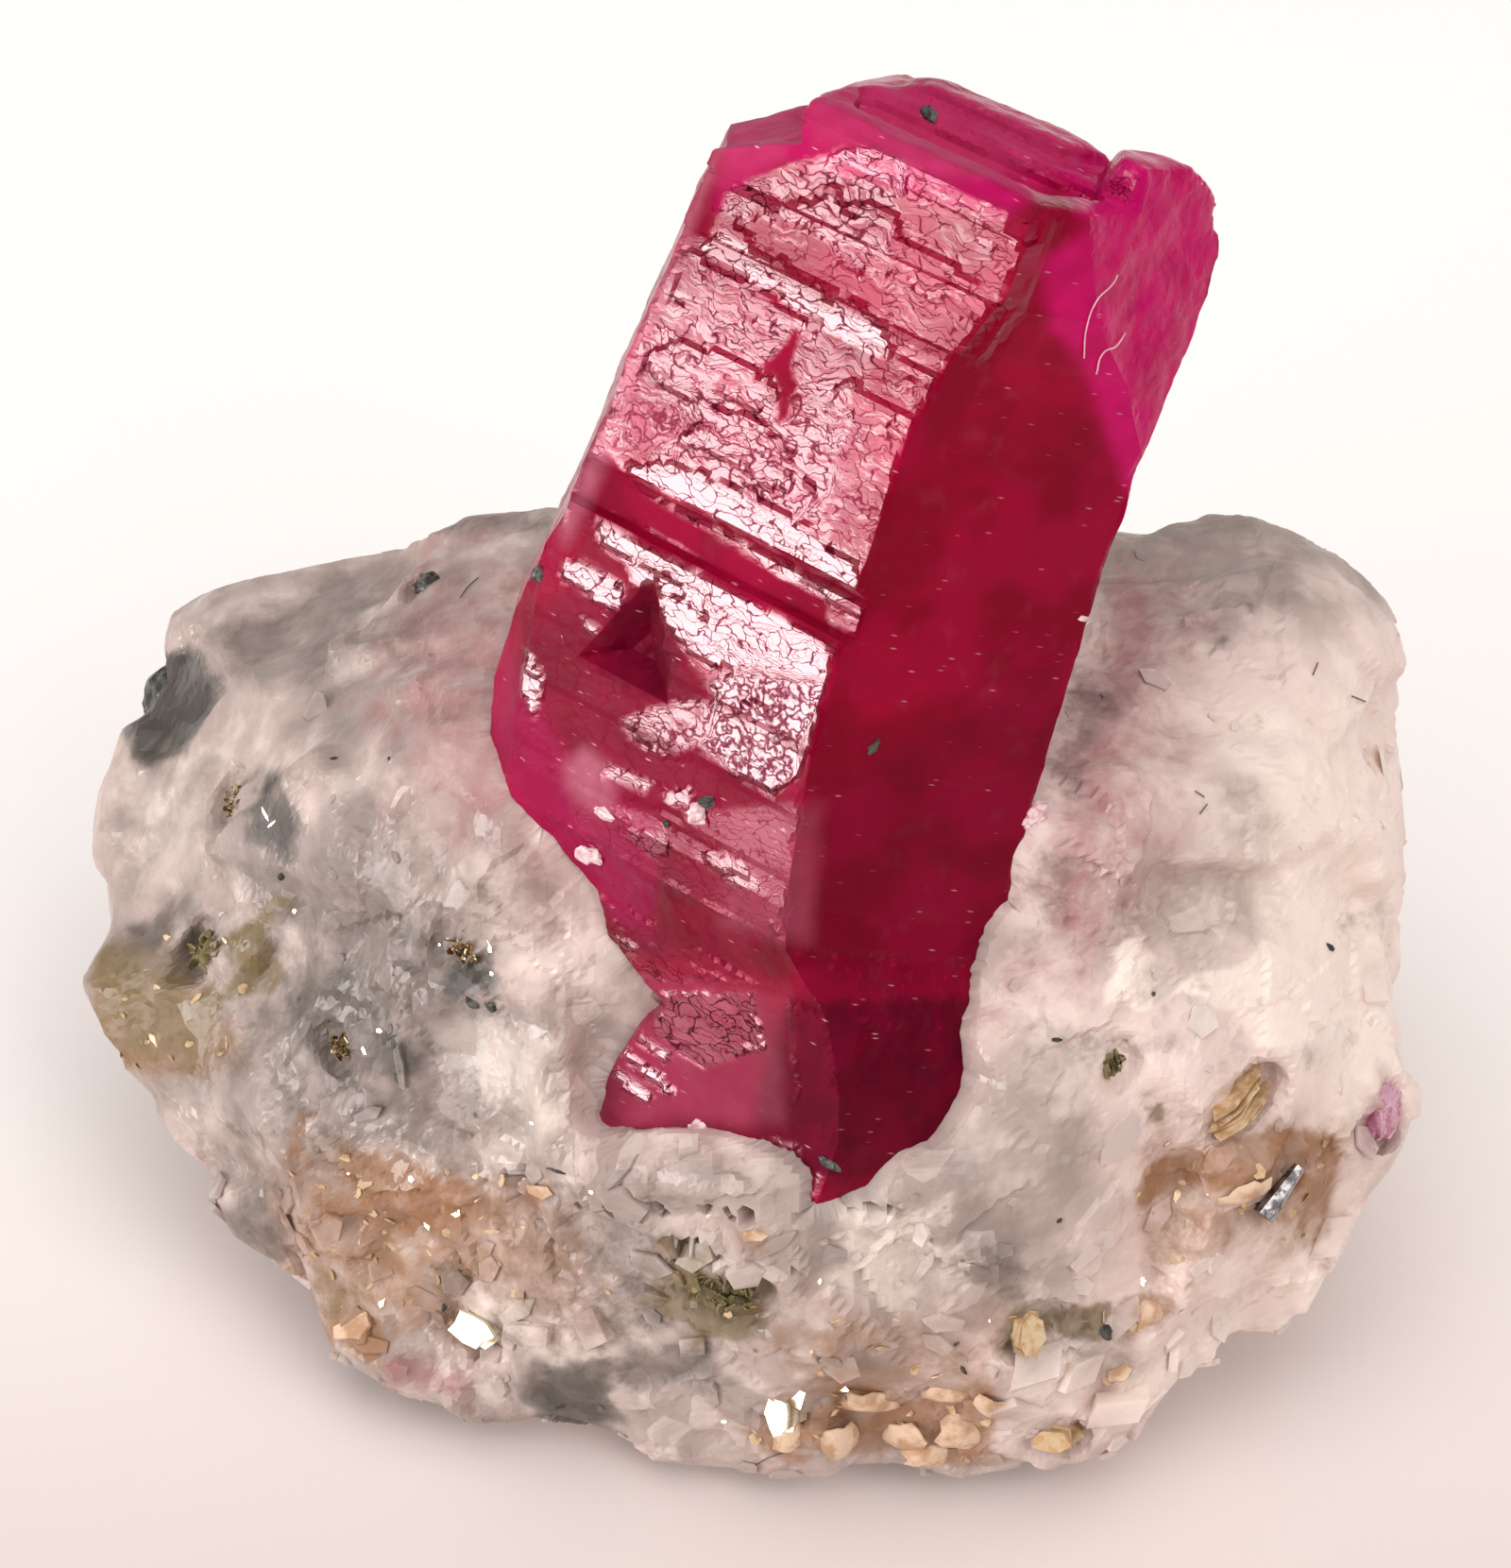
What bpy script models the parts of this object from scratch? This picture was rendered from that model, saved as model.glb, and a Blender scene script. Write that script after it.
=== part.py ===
"""A raw ruby crystal standing in its loose piece of white marble.

Blender script, metres, +Z up. The marble rests on z = 0 and the origin is the
middle of the whole specimen's footprint. X runs across, and Y runs from the
broken front, where the ruby's foot shows, to the back.
"""
import math

import bmesh
import bpy
from mathutils import Euler, Matrix, Vector, noise
from mathutils.bvhtree import BVHTree

MM = 0.001
GAP = 0.3 * MM

# --- The ruby: a six-sided prism, given in its own frame ----------------------
# x runs across the crystal, y towards its back, z along its length, all in mm.
RUBY_FOOT = Vector((-2.3, -5.5, 11.6)) * MM   # where its own origin sits in the specimen
RUBY_LEAN = (-26.5, 13.0, -13.3)              # degrees: back, to the right, turned
FRONT_EDGE_Y = -4.5                           # the edge between its two front faces
LEFT_FACE_TURN = 27.0                         # degrees each front face runs back
RIGHT_FACE_TURN = 33.0
BODY_SIDES = (0.30, 0.13)                     # left and right side faces, share of the width
POCKET_GROW = 0.4                             # mm the pocket in the marble is larger

# Growth levels, foot to head: height, left edge, front edge, right edge, and how
# far the left front face steps out (+) or back (-) there. The first rows are the
# buried foot, the next the thin fin, then the broken overhang and the long body.
RUBY_LEVELS = (
    (-4.6, -0.9, 4.5, 5.9, 0.0),
    (-2.8, -1.15, 4.7, 6.3, 0.0),
    (-0.8, -1.1, 4.9, 6.9, 0.0),
    (0.7, -0.8, 4.9, 7.35, 0.0),
    (1.7, -0.3, 4.6, 7.45, 0.0),
    (2.0, -1.0, 4.5, 7.45, 0.0),
    (2.7, -2.3, 4.2, 7.4, 0.0),
    (3.8, -2.9, 3.6, 7.35, 0.0),
    (4.7, -4.4, 2.6, 7.3, 0.0),
    (5.2, -5.7, 2.1, 7.25, 0.0),
    (6.2, -6.8, 1.75, 7.2, 0.0),
    (7.7, -7.1, 1.5, 7.0, 0.0),
    (9.8, -7.1, 1.2, 6.85, 0.0),
    (11.2, -6.9, 1.1, 6.75, 0.05),
    (13.3, -6.6, 1.0, 6.65, 0.05),
    (13.4, -6.6, 1.0, 6.65, -0.25),
    (14.4, -6.5, 0.9, 6.6, -0.3),
    (14.6, -6.5, 0.9, 6.6, 0.0),
    (18.5, -6.15, 0.92, 6.5, 0.05),
    (20.9, -5.85, 1.35, 6.7, 0.1),
    (21.0, -5.85, 1.4, 6.7, -0.12),
    (22.4, -5.6, 1.95, 6.85, -0.15),
    (22.5, -5.6, 1.95, 6.85, -0.35),
    (24.0, -5.35, 2.05, 6.85, -0.35),
    (24.1, -5.35, 2.05, 6.9, -0.15),
    (24.5, -5.3, 2.05, 6.85, -0.1),
    (24.6, -5.3, 2.05, 6.8, 0.1),
    (26.0, -5.0, 2.05, 6.4, 0.1),
)
# Stubs of parallel growth that rise at the right corner and the back of the head:
# their levels, where their front edge is, and their two side faces.
KNOB_LEVELS = (
    (23.0, 3.4, 4.6, 6.2, 0.0),
    (25.6, 3.4, 4.6, 6.35, 0.0),
    (26.2, 3.6, 4.6, 5.6, 0.0),
)
KNOB_PLACE = (-2.5, (0.64, 0.5))
BACK_RIDGE_LEVELS = (
    (23.0, -1.9, 2.2, 3.6, 0.0),
    (25.3, -1.9, 2.2, 3.6, 0.0),
    (25.6, -1.3, 2.2, 3.3, 0.0),
)
BACK_RIDGE_PLACE = (0.2, (0.16, 0.05))
# The hollow between the front and back ridges of the head.
HOLLOW_LEVELS = (
    (24.3, -2.5, 1.9, 3.4, 0.0),
    (24.6, -2.7, 1.9, 3.6, 0.0),
    (27.0, -3.2, 1.9, 4.0, 0.0),
)
HOLLOW_PLACE = (-3.1, (0.37, 0.13))
# Flat breaks: a point on the break, the outward normal, in the crystal's frame.
HEAD_BREAK = ((0.0, -3.3, 25.05), (0.0, -0.02, 1.0))
FOOT_BREAK = ((4.9, -4.5, -1.1), (0.41, 0.0, -0.91))
RUBY_BREAKS = {
    "head_right": ((6.3, -0.6, 21.9), (0.77, -0.62, 0.13)),
    "edge_low_left": ((-6.35, -0.9, 10.0), (-0.82, -0.56, -0.12)),
    "head_back_left": ((-2.4, 4.0, 25.0), (-0.55, 0.15, 0.82)),
}
BREAK_BOX = 16.0                                         # more than the crystal is wide
# The left corner of the head is a step lower: middle, size and tilt of what is gone.
CORNER_STEP = ((-5.8, 0.8, 24.45), (3.6, 11.0, 3.0), -28.0)
CHIP_MIDDLE = (-3.9, -1.95, 10.5)                        # three-cornered chip, left face
CHIP_RADIUS = 3.2
CHIP_FLOOR = 0.12                                        # its floor, share of the radius
CHIP_DEPTH = 0.6

# --- The marble: a broken lump -------------------------------------------------
# Corners of the lump in mm from the middle of its underside.
MARBLE_CROWN = (
    (-8.0, -0.8, 18.2), (-5.0, -3.6, 17.4), (7.5, -4.6, 17.8), (12.5, -3.4, 17.3),
    (15.2, 2.0, 16.9), (15.0, 8.0, 16.5), (12.9, 8.5, 17.5), (2.6, 8.6, 17.6),
    (-5.4, 8.6, 17.2), (-7.6, 9.4, 16.5),
)
MARBLE_SHOULDER = (
    (-12.4, 10.7, 14.0), (-15.8, 11.2, 12.0), (-17.7, 8.6, 10.4), (-13.0, 1.5, 14.8),
    (16.7, 8.1, 15.4), (17.6, 8.0, 14.0), (18.1, 6.5, 13.0), (18.0, 3.2, 12.0),
    (17.9, -1.6, 11.0), (13.5, -7.2, 12.0), (5.2, -10.6, 12.0), (0.5, -11.2, 11.9),
    (-5.0, -8.2, 10.2), (-9.5, -6.0, 11.6),
)
MARBLE_WAIST = (
    (-18.4, 5.0, 8.6), (-18.2, 0.2, 7.8), (-16.9, -2.0, 6.0), (17.2, -3.4, 9.5),
    (16.7, -6.5, 6.4), (-10.0, 12.0, 8.0), (2.0, 12.2, 9.0), (12.0, 11.6, 9.0),
    (7.0, -12.0, 6.0), (1.0, -12.2, 5.0), (-8.0, -9.2, 5.0),
)
MARBLE_FOOT = (
    (-15.8, -5.5, 4.0), (-13.0, -7.3, 3.0), (-9.0, -9.2, 2.0), (-4.5, -10.5, 1.4),
    (0.0, -11.7, 1.0), (5.1, -12.1, 1.1), (9.6, -11.1, 2.0), (13.0, -9.5, 3.0),
    (15.9, -7.7, 5.0), (15.0, 7.0, 4.0), (6.0, 10.5, 2.5), (-7.0, 10.5, 2.5),
    (-14.5, 7.0, 3.5), (-7.5, -6.0, -0.5), (8.0, -6.5, -0.5), (8.5, 5.5, -0.5),
    (-7.5, 6.0, -0.5),
)
MARBLE_GRAIN = 0.55 * MM      # grid the lump is rebuilt on before it is broken up
MARBLE_TRIANGLES = 6000
SWELL_SIZE = 7.0 * MM         # soft swells: how far apart, and how high
SWELL_HEIGHT = 0.55 * MM
LEDGES = ((6.5 * MM, 0.15), (2.9 * MM, 0.12))   # cleavage grain size, and relief as a share
GRAIN_TILT = 1.3              # how much of a grain's relief is tilt, against its step
WORN_HEIGHT = 1.6 * MM        # below this the relief fades out, towards the worn base
# Scoops out of the lump: middle and radii in mm.
MARBLE_SCOOPS = {
    "under_left": ((-12.0, -10.4, 6.6), (4.0, 2.6, 2.4)),
    "front_ledge": ((8.8, -13.4, 7.6), (5.0, 2.3, 1.5)),
    "right_shelf": ((17.6, -7.8, 10.2), (2.4, 3.4, 2.6)),
}
# The marble broke away in front of the crystal's foot along this line, in mm, and
# is gone from there outwards.
CLEARING = (
    (-6.6, -2.4, 18.3), (-4.9, -6.2, 12.6), (-4.4, -7.5, 10.1), (-0.9, -9.1, 11.6),
    (1.9, -10.7, 12.3), (3.7, -10.1, 11.6), (5.1, -9.0, 12.7), (5.8, -8.1, 14.6),
    (6.2, -7.2, 16.6), (6.8, -4.6, 18.4),
)
CLEARING_RUN = (0.0, -12.0, 12.0)

# --- Small crystals in the marble ------------------------------------------------
# Bearing and height angle from the marble's heart, length, width and thickness in
# mm, and the roll of the long axis in degrees.
MARBLE_HEART = Vector((0.0, 0.0, 8.5)) * MM
OUTSIDE = 60 * MM             # a distance from the heart that is clear of everything
METAL_GRAINS = {
    "silver_metal_crystal": (123.0, 3.4, (1.6, 0.85, 0.9), 30.0),
    "dark_corner_grain": (-61.1, 4.0, (1.9, 1.8, 1.6), 0.0),
    "pyrite_far_left": (-81.7, 16.6, (1.7, 1.1, 1.0), 22.0),
    "pyrite_near_ruby": (-122.1, 32.5, (1.3, 1.0, 0.9), 6.0),
    "pyrite_cube_cluster": (-113.1, 9.2, (1.1, 0.8, 0.8), 58.0),
    "dark_green_grain": (-53.2, 35.9, (0.9, 0.6, 0.6), -76.0),
}
MICA_GRAINS = {
    "mica_front_left": (-141.7, -19.7, (1.7, 1.1, 0.7), 60.0),
    "mica_front_low": (176.3, -19.5, (1.4, 1.0, 0.7), 66.0),
    "mica_stack_right": (122.2, 11.9, (2.5, 0.8, 0.7), 14.0),
    "mica_plate_low": (148.9, -5.8, (1.6, 0.9, 0.6), 32.0),
    "mica_foot": (146.0, -21.2, (1.5, 0.8, 0.7), -38.0),
    "mica_olive_front": (-175.7, -0.9, (2.5, 1.5, 0.8), -14.0),
    "mica_olive_left": (-93.1, 5.4, (2.4, 1.2, 0.8), 58.0),
    "mica_brown_right": (131.7, 22.2, (0.9, 0.7, 0.6), 30.0),
}
SIDE_RUBY = ("side_ruby_crystal", (108.1, 0.8, (1.6, 0.9, 0.9), 24.0))
GRAIN_SUNK = 0.62             # share of a grain's thickness that is below the surface
GRAIN_ROUGH = 0.22            # how much its corners are knocked about
PIT_GROW = GAP / MM * 1.25    # mm that the pit around it is wider on each side

COLOURS = {
    "ruby": ((0.36, 0.006, 0.045, 1.0), 0.12, 0.0),
    "pale_ruby": ((0.45, 0.08, 0.22, 1.0), 0.25, 0.0),
    "marble": ((0.62, 0.58, 0.57, 1.0), 0.45, 0.0),
    "silver": ((0.55, 0.55, 0.56, 1.0), 0.22, 1.0),
    "pyrite": ((0.42, 0.33, 0.16, 1.0), 0.30, 1.0),
    "mica": ((0.50, 0.33, 0.12, 1.0), 0.30, 0.0),
}


def clear_scene():
    for old in list(bpy.data.objects):
        bpy.data.objects.remove(old, do_unlink=True)


def collection(name):
    made = bpy.data.collections.new(name)
    bpy.context.scene.collection.children.link(made)
    return made


def material(name):
    colour, roughness, metallic = COLOURS[name]
    made = bpy.data.materials.new(name)
    made.use_nodes = True
    shader = made.node_tree.nodes["Principled BSDF"]
    shader.inputs["Base Color"].default_value = colour
    shader.inputs["Roughness"].default_value = roughness
    shader.inputs["Metallic"].default_value = metallic
    return made


def add_object(name, mesh, group, finish=None):
    made = bpy.data.objects.new(name, mesh)
    group.objects.link(made)
    if finish:
        mesh.materials.append(finish)
    return made


def mesh_from(bm, name):
    bmesh.ops.recalc_face_normals(bm, faces=bm.faces)
    mesh = bpy.data.meshes.new(name)
    bm.to_mesh(mesh)
    bm.free()
    return mesh


def as_cutter(obj):
    obj.hide_render = True
    obj.display_type = "WIRE"
    return obj


def cut(obj, cutter, operation="DIFFERENCE"):
    step = obj.modifiers.new(cutter.name, "BOOLEAN")
    step.operation = operation
    step.solver = "EXACT"
    step.object = cutter
    return step


def settle(obj):
    """Turn an object's modifiers into plain mesh."""
    seen_by = bpy.context.evaluated_depsgraph_get()
    mesh = bpy.data.meshes.new_from_object(obj.evaluated_get(seen_by))
    obj.modifiers.clear()
    obj.data = mesh
    return obj


# --- Ruby ----------------------------------------------------------------------
def direction(degrees):
    return Vector((math.cos(math.radians(degrees)), math.sin(math.radians(degrees))))


def outward(run):
    """Normal on the right-hand side of a face that runs anticlockwise from above."""
    return Vector((run.y, -run.x))


def crossing(normal_a, reach_a, normal_b, reach_b):
    """Corner where two side faces meet, seen along the crystal."""
    both = Matrix((normal_a, normal_b))
    return both.inverted() @ Vector((reach_a, reach_b))


def prism_section(left, front, right, step, front_y, sides, grow):
    """Six corners of the prism at one level, anticlockwise from the left edge."""
    run_left = -direction(180.0 - LEFT_FACE_TURN)
    run_right = direction(RIGHT_FACE_TURN)
    run_side = direction(60.0 + RIGHT_FACE_TURN)
    front_corner = Vector((front, front_y))
    left_corner = front_corner + run_left * (left - front) / run_left.x
    right_corner = front_corner + run_right * (right - front) / run_right.x
    left_depth, right_depth = (share * (right - left) for share in sides)
    runs = (run_left, run_right, run_side, -run_left, -run_right, -run_side)
    on_face = (
        front_corner, front_corner, right_corner,
        right_corner + run_side * right_depth, left_corner + run_side * left_depth, left_corner,
    )
    normals = [outward(run) for run in runs]
    reaches = [normal.dot(point) + grow for normal, point in zip(normals, on_face)]
    reaches[0] += step
    return [crossing(normals[i - 1], reaches[i - 1], normals[i], reaches[i]) for i in range(6)]


def prism_mesh(name, levels, front_y=FRONT_EDGE_Y, sides=BODY_SIDES, grow=0.0):
    """A crystal grown level by level: unlike six-sided sections, joined and capped."""
    bm = bmesh.new()
    rings = []
    for z, left, front, right, step in levels:
        corners = prism_section(left, front, right, step, front_y, sides, grow)
        rings.append([bm.verts.new(Vector((p.x, p.y, z)) * MM) for p in corners])
    for below, above in zip(rings, rings[1:]):
        for i in range(6):
            j = (i + 1) % 6
            bm.faces.new((below[i], below[j], above[j], above[i]))
    bm.faces.new(list(reversed(rings[0])))
    bm.faces.new(rings[-1])
    bmesh.ops.triangulate(bm, faces=bm.faces)
    return mesh_from(bm, name)


def grown_levels(levels, grow):
    """The same levels with both ends pushed out along the crystal."""
    first, last = levels[0], levels[-1]
    return ((first[0] - grow, *first[1:]), *levels[1:-1], (last[0] + grow, *last[1:]))


def place_like_ruby(obj):
    obj.location = RUBY_FOOT
    obj.rotation_euler = Euler([math.radians(a) for a in RUBY_LEAN], "XYZ")
    return obj


def break_box(name, point, normal, cutters):
    """A box whose one face lies on a flat break, with the rest outside the crystal."""
    bm = bmesh.new()
    bmesh.ops.create_cube(bm, size=BREAK_BOX * MM)
    bmesh.ops.translate(bm, vec=Vector((0.0, 0.0, BREAK_BOX / 2)) * MM, verts=bm.verts)
    turn = Vector(normal).to_track_quat("Z", "Y").to_matrix()
    bmesh.ops.rotate(bm, matrix=turn, verts=bm.verts)
    bmesh.ops.translate(bm, vec=Vector(point) * MM, verts=bm.verts)
    return as_cutter(add_object(name, mesh_from(bm, name), cutters))


def corner_step(cutters):
    middle, size, tilt = CORNER_STEP
    bm = bmesh.new()
    bmesh.ops.create_cube(bm, size=MM)
    bmesh.ops.scale(bm, vec=size, verts=bm.verts)
    bmesh.ops.rotate(bm, matrix=Matrix.Rotation(math.radians(tilt), 3, "Y"), verts=bm.verts)
    bmesh.ops.translate(bm, vec=Vector(middle) * MM, verts=bm.verts)
    return as_cutter(add_object("corner_step", mesh_from(bm, "corner_step"), cutters))


def chip_cone(cutters):
    """A shallow three-sided cone that leaves a chip in the left front face."""
    bm = bmesh.new()
    bmesh.ops.create_cone(
        bm, cap_ends=True, segments=3, radius1=CHIP_RADIUS * CHIP_FLOOR * MM,
        radius2=CHIP_RADIUS * MM, depth=2 * CHIP_DEPTH * MM,
    )
    face_out = outward(-direction(180.0 - LEFT_FACE_TURN))
    turn = Vector((face_out.x, face_out.y, 0.0)).to_track_quat("Z", "Y").to_matrix()
    bmesh.ops.rotate(bm, matrix=turn, verts=bm.verts)
    bmesh.ops.translate(bm, vec=Vector(CHIP_MIDDLE) * MM, verts=bm.verts)
    return as_cutter(add_object("face_chip", mesh_from(bm, "face_chip"), cutters))


def make_ruby(parts, cutters):
    ruby = add_object("ruby_crystal", prism_mesh("ruby_crystal", RUBY_LEVELS), parts)
    knob_mesh = prism_mesh("head_knob", KNOB_LEVELS, *KNOB_PLACE)
    ridge_mesh = prism_mesh("back_ridge", BACK_RIDGE_LEVELS, *BACK_RIDGE_PLACE)
    hollow_mesh = prism_mesh("head_hollow", HOLLOW_LEVELS, *HOLLOW_PLACE)
    head = break_box("head_end", *HEAD_BREAK, cutters)
    foot = break_box("foot_end", *FOOT_BREAK, cutters)
    hollow = as_cutter(add_object("head_hollow", hollow_mesh, cutters))
    stubs = [as_cutter(add_object("head_knob", knob_mesh, cutters))]
    stubs.append(as_cutter(add_object("back_ridge", ridge_mesh, cutters)))
    chips = [break_box(name, *where, cutters) for name, where in RUBY_BREAKS.items()]
    chips += [corner_step(cutters), chip_cone(cutters)]
    for obj in (ruby, head, foot, hollow, *stubs, *chips):
        place_like_ruby(obj)
    cut(ruby, head)
    cut(ruby, foot)
    cut(ruby, hollow)
    for stub in stubs:
        cut(ruby, stub, "UNION")
    for chip in chips:
        cut(ruby, chip)
    ruby.data.materials.append(material("ruby"))
    return settle(ruby)


def make_pocket(cutters):
    """The crystal's own shape, slightly larger, which the marble leaves open."""
    levels = grown_levels(RUBY_LEVELS, POCKET_GROW)
    mesh = prism_mesh("ruby_pocket", levels, grow=POCKET_GROW)
    pocket = place_like_ruby(as_cutter(add_object("ruby_pocket", mesh, cutters)))
    point, normal = FOOT_BREAK
    below = Vector(point) + Vector(normal) * POCKET_GROW
    cut(pocket, place_like_ruby(break_box("pocket_end", below, normal, cutters)))
    return pocket


# --- Marble --------------------------------------------------------------------
def hull_mesh(name, corners):
    """The tightest closed skin around some corners."""
    bm = bmesh.new()
    for corner in corners:
        bm.verts.new(Vector(corner) * MM)
    hull = bmesh.ops.convex_hull(bm, input=bm.verts)
    inside = {item for item in hull["geom_interior"] if isinstance(item, bmesh.types.BMVert)}
    bmesh.ops.delete(bm, geom=list(inside), context="VERTS")
    return mesh_from(bm, name)


def make_clearing(cutters):
    far_side = [Vector(corner) + Vector(CLEARING_RUN) for corner in CLEARING]
    mesh = hull_mesh("foot_clearing", [*CLEARING, *far_side])
    return as_cutter(add_object("foot_clearing", mesh, cutters))


def cleavage(point, size, share):
    """Height of a flat, tilted calcite grain face that owns this point."""
    grid = point / size
    middle = noise.voronoi(grid)[1][0]
    tilt = noise.noise_vector(middle * 3.7)
    step = noise.noise(middle * 5.3)
    return size * share * (GRAIN_TILT * tilt.dot(grid - middle) + step)


def break_up(mesh):
    """Push the smooth lump in and out into swells and stepped grain faces."""
    mesh.update()
    moved = []
    for vertex in mesh.vertices:
        point = vertex.co
        height = SWELL_HEIGHT * noise.fractal(point / SWELL_SIZE, 1.0, 2.0, 3)
        for size, share in LEDGES:
            height += cleavage(point, size, share)
        height *= min(1.0, max(0.0, point.z / WORN_HEIGHT))
        moved.append(point + vertex.normal * height)
    for vertex, place in zip(mesh.vertices, moved):
        vertex.co = place


def scoop(name, middle, radii, cutters):
    bm = bmesh.new()
    bmesh.ops.create_icosphere(bm, subdivisions=2, radius=MM)
    bmesh.ops.scale(bm, vec=radii, verts=bm.verts)
    bmesh.ops.translate(bm, vec=Vector(middle) * MM, verts=bm.verts)
    return as_cutter(add_object(name, mesh_from(bm, name), cutters))


def floor_box(cutters):
    bm = bmesh.new()
    bmesh.ops.create_cube(bm, size=2 * OUTSIDE)
    bmesh.ops.translate(bm, vec=(0.0, 0.0, -OUTSIDE), verts=bm.verts)
    return as_cutter(add_object("floor_box", mesh_from(bm, "floor_box"), cutters))


def rebuild(obj, relax):
    """Even out the mesh on a fine grid and round its corners."""
    grid = obj.modifiers.new("rebuild", "REMESH")
    grid.mode = "VOXEL"
    grid.voxel_size = MARBLE_GRAIN
    rounded = obj.modifiers.new("round", "SMOOTH")
    rounded.iterations = relax
    rounded.factor = 0.5
    return settle(obj)


def make_marble(parts, cutters):
    corners = MARBLE_CROWN + MARBLE_SHOULDER + MARBLE_WAIST + MARBLE_FOOT
    marble = add_object("marble_matrix", hull_mesh("marble_matrix", corners), parts)
    rebuild(marble, 6)
    for name, (middle, radii) in MARBLE_SCOOPS.items():
        cut(marble, scoop(name, middle, radii, cutters))
    cut(marble, make_clearing(cutters))
    rebuild(marble, 3)
    break_up(marble.data)
    fewer = marble.modifiers.new("fewer", "DECIMATE")
    fewer.ratio = MARBLE_TRIANGLES / (2 * len(marble.data.polygons))
    cut(marble, floor_box(cutters))
    settle(marble)
    marble.data.materials.append(material("marble"))
    return marble


# --- Small crystals --------------------------------------------------------------
def bearing(turn, rise):
    """Direction out of the marble: degrees clockwise from the back, and up."""
    turn, rise = math.radians(turn), math.radians(rise)
    return Vector((math.sin(turn) * math.cos(rise), math.cos(turn) * math.cos(rise), math.sin(rise)))


def surface_tree(obj):
    bm = bmesh.new()
    bm.from_mesh(obj.data)
    tree = BVHTree.FromBMesh(bm)
    bm.free()
    return tree


def grain_mesh(name, size, place, grow, flat):
    """A rough little crystal: a rounded block with its corners knocked about."""
    bm = bmesh.new()
    bmesh.ops.create_icosphere(bm, subdivisions=2, radius=0.5)
    seed = Vector((len(name) * 1.7, ord(name[0]) * 0.31, ord(name[-1]) * 0.23))
    for vertex in bm.verts:
        rough = 1.0 + GRAIN_ROUGH * noise.noise(vertex.co * 3.1 + seed)
        biggest = max(abs(c) for c in vertex.co) * 2
        vertex.co *= rough * (1.0 + flat * (1.0 / biggest - 1.0))
    bmesh.ops.scale(bm, vec=(Vector(size) + Vector((grow, grow, grow)) * 2) * MM, verts=bm.verts)
    bmesh.ops.transform(bm, matrix=place, verts=bm.verts)
    return mesh_from(bm, name)


def grain_place(tree, turn, rise, size, roll):
    """Frame of a grain sunk in the surface, its long axis rolled about the normal."""
    out = bearing(turn, rise)
    point, normal, _, _ = tree.ray_cast(MARBLE_HEART + out * OUTSIDE, -out)
    stand = (normal + out).normalized()
    turned = stand.to_track_quat("Z", "Y").to_matrix() @ Matrix.Rotation(math.radians(roll), 3, "Z")
    middle = point - stand * size[2] * (GRAIN_SUNK - 0.5) * MM
    return Matrix.Translation(middle) @ turned.to_4x4()


def add_grain(name, where, finish, flat, tree, parts, pits):
    turn, rise, size, roll = where
    place = grain_place(tree, turn, rise, size, roll)
    grain = add_object(name, grain_mesh(name, size, place, 0.0, flat), parts, finish)
    pit = grain_mesh(name, size, place, PIT_GROW, flat)
    as_cutter(add_object("pit_" + name, pit, pits))
    return grain


def add_grains(marble, parts, pits):
    tree = surface_tree(marble)
    silver, pyrite, mica = material("silver"), material("pyrite"), material("mica")
    for name, where in METAL_GRAINS.items():
        finish = silver if "silver" in name else pyrite
        add_grain(name, where, finish, 0.6, tree, parts, pits)
    for name, where in MICA_GRAINS.items():
        add_grain(name, where, mica, 0.35, tree, parts, pits)
    name, where = SIDE_RUBY
    add_grain(name, where, material("pale_ruby"), 0.5, tree, parts, pits)


def main():
    clear_scene()
    parts = collection("raw_ruby_crystal")
    cutters = collection("cutters")
    pits = collection("grain_pits")
    make_ruby(parts, cutters)
    marble = make_marble(parts, cutters)
    add_grains(marble, parts, pits)
    cut(marble, make_pocket(cutters))
    for pit in pits.objects:
        cut(marble, pit)


main()
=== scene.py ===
# %% [markdown]
# # A raw ruby in its piece of marble
#
# A ruby prism leans out of a broken lump of white marble. The solids that carry
# everything come ready-made as a frame. This file gives them their looks: the fine
# breaks of the stone, the etched faces of the crystal, and the grains between them.

import math

import bmesh
import bpy
import numpy as np
from mathutils import Euler, Matrix, Vector, noise
from mathutils.bvhtree import BVHTree
from mathutils.kdtree import KDTree


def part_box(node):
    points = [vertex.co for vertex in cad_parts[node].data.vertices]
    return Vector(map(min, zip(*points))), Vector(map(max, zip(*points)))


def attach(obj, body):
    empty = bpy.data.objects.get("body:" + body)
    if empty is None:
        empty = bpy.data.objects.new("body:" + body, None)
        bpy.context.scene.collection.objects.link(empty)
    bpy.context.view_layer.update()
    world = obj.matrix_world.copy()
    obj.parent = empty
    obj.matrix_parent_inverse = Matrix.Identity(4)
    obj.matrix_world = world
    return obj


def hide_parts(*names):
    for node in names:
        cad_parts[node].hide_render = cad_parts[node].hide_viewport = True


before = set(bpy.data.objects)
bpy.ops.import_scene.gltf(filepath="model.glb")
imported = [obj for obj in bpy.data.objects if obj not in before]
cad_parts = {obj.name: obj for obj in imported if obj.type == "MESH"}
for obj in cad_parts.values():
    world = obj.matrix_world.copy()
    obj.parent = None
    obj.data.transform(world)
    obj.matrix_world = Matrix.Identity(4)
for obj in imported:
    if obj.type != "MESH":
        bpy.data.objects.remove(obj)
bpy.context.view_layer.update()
MM = 0.001
print("nodes:", sorted(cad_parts))

# %% [markdown]
# ## The camera
#
# The specimen is seen from 45 degrees above its front, from a hand's breadth away.
# A long lens keeps the prism's edges nearly parallel. The same numbers also turn a
# place in the 1600 by 1660 picture into a line of sight, which later puts a stain or
# a grain where it shows, on the surface that carries it.

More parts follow.
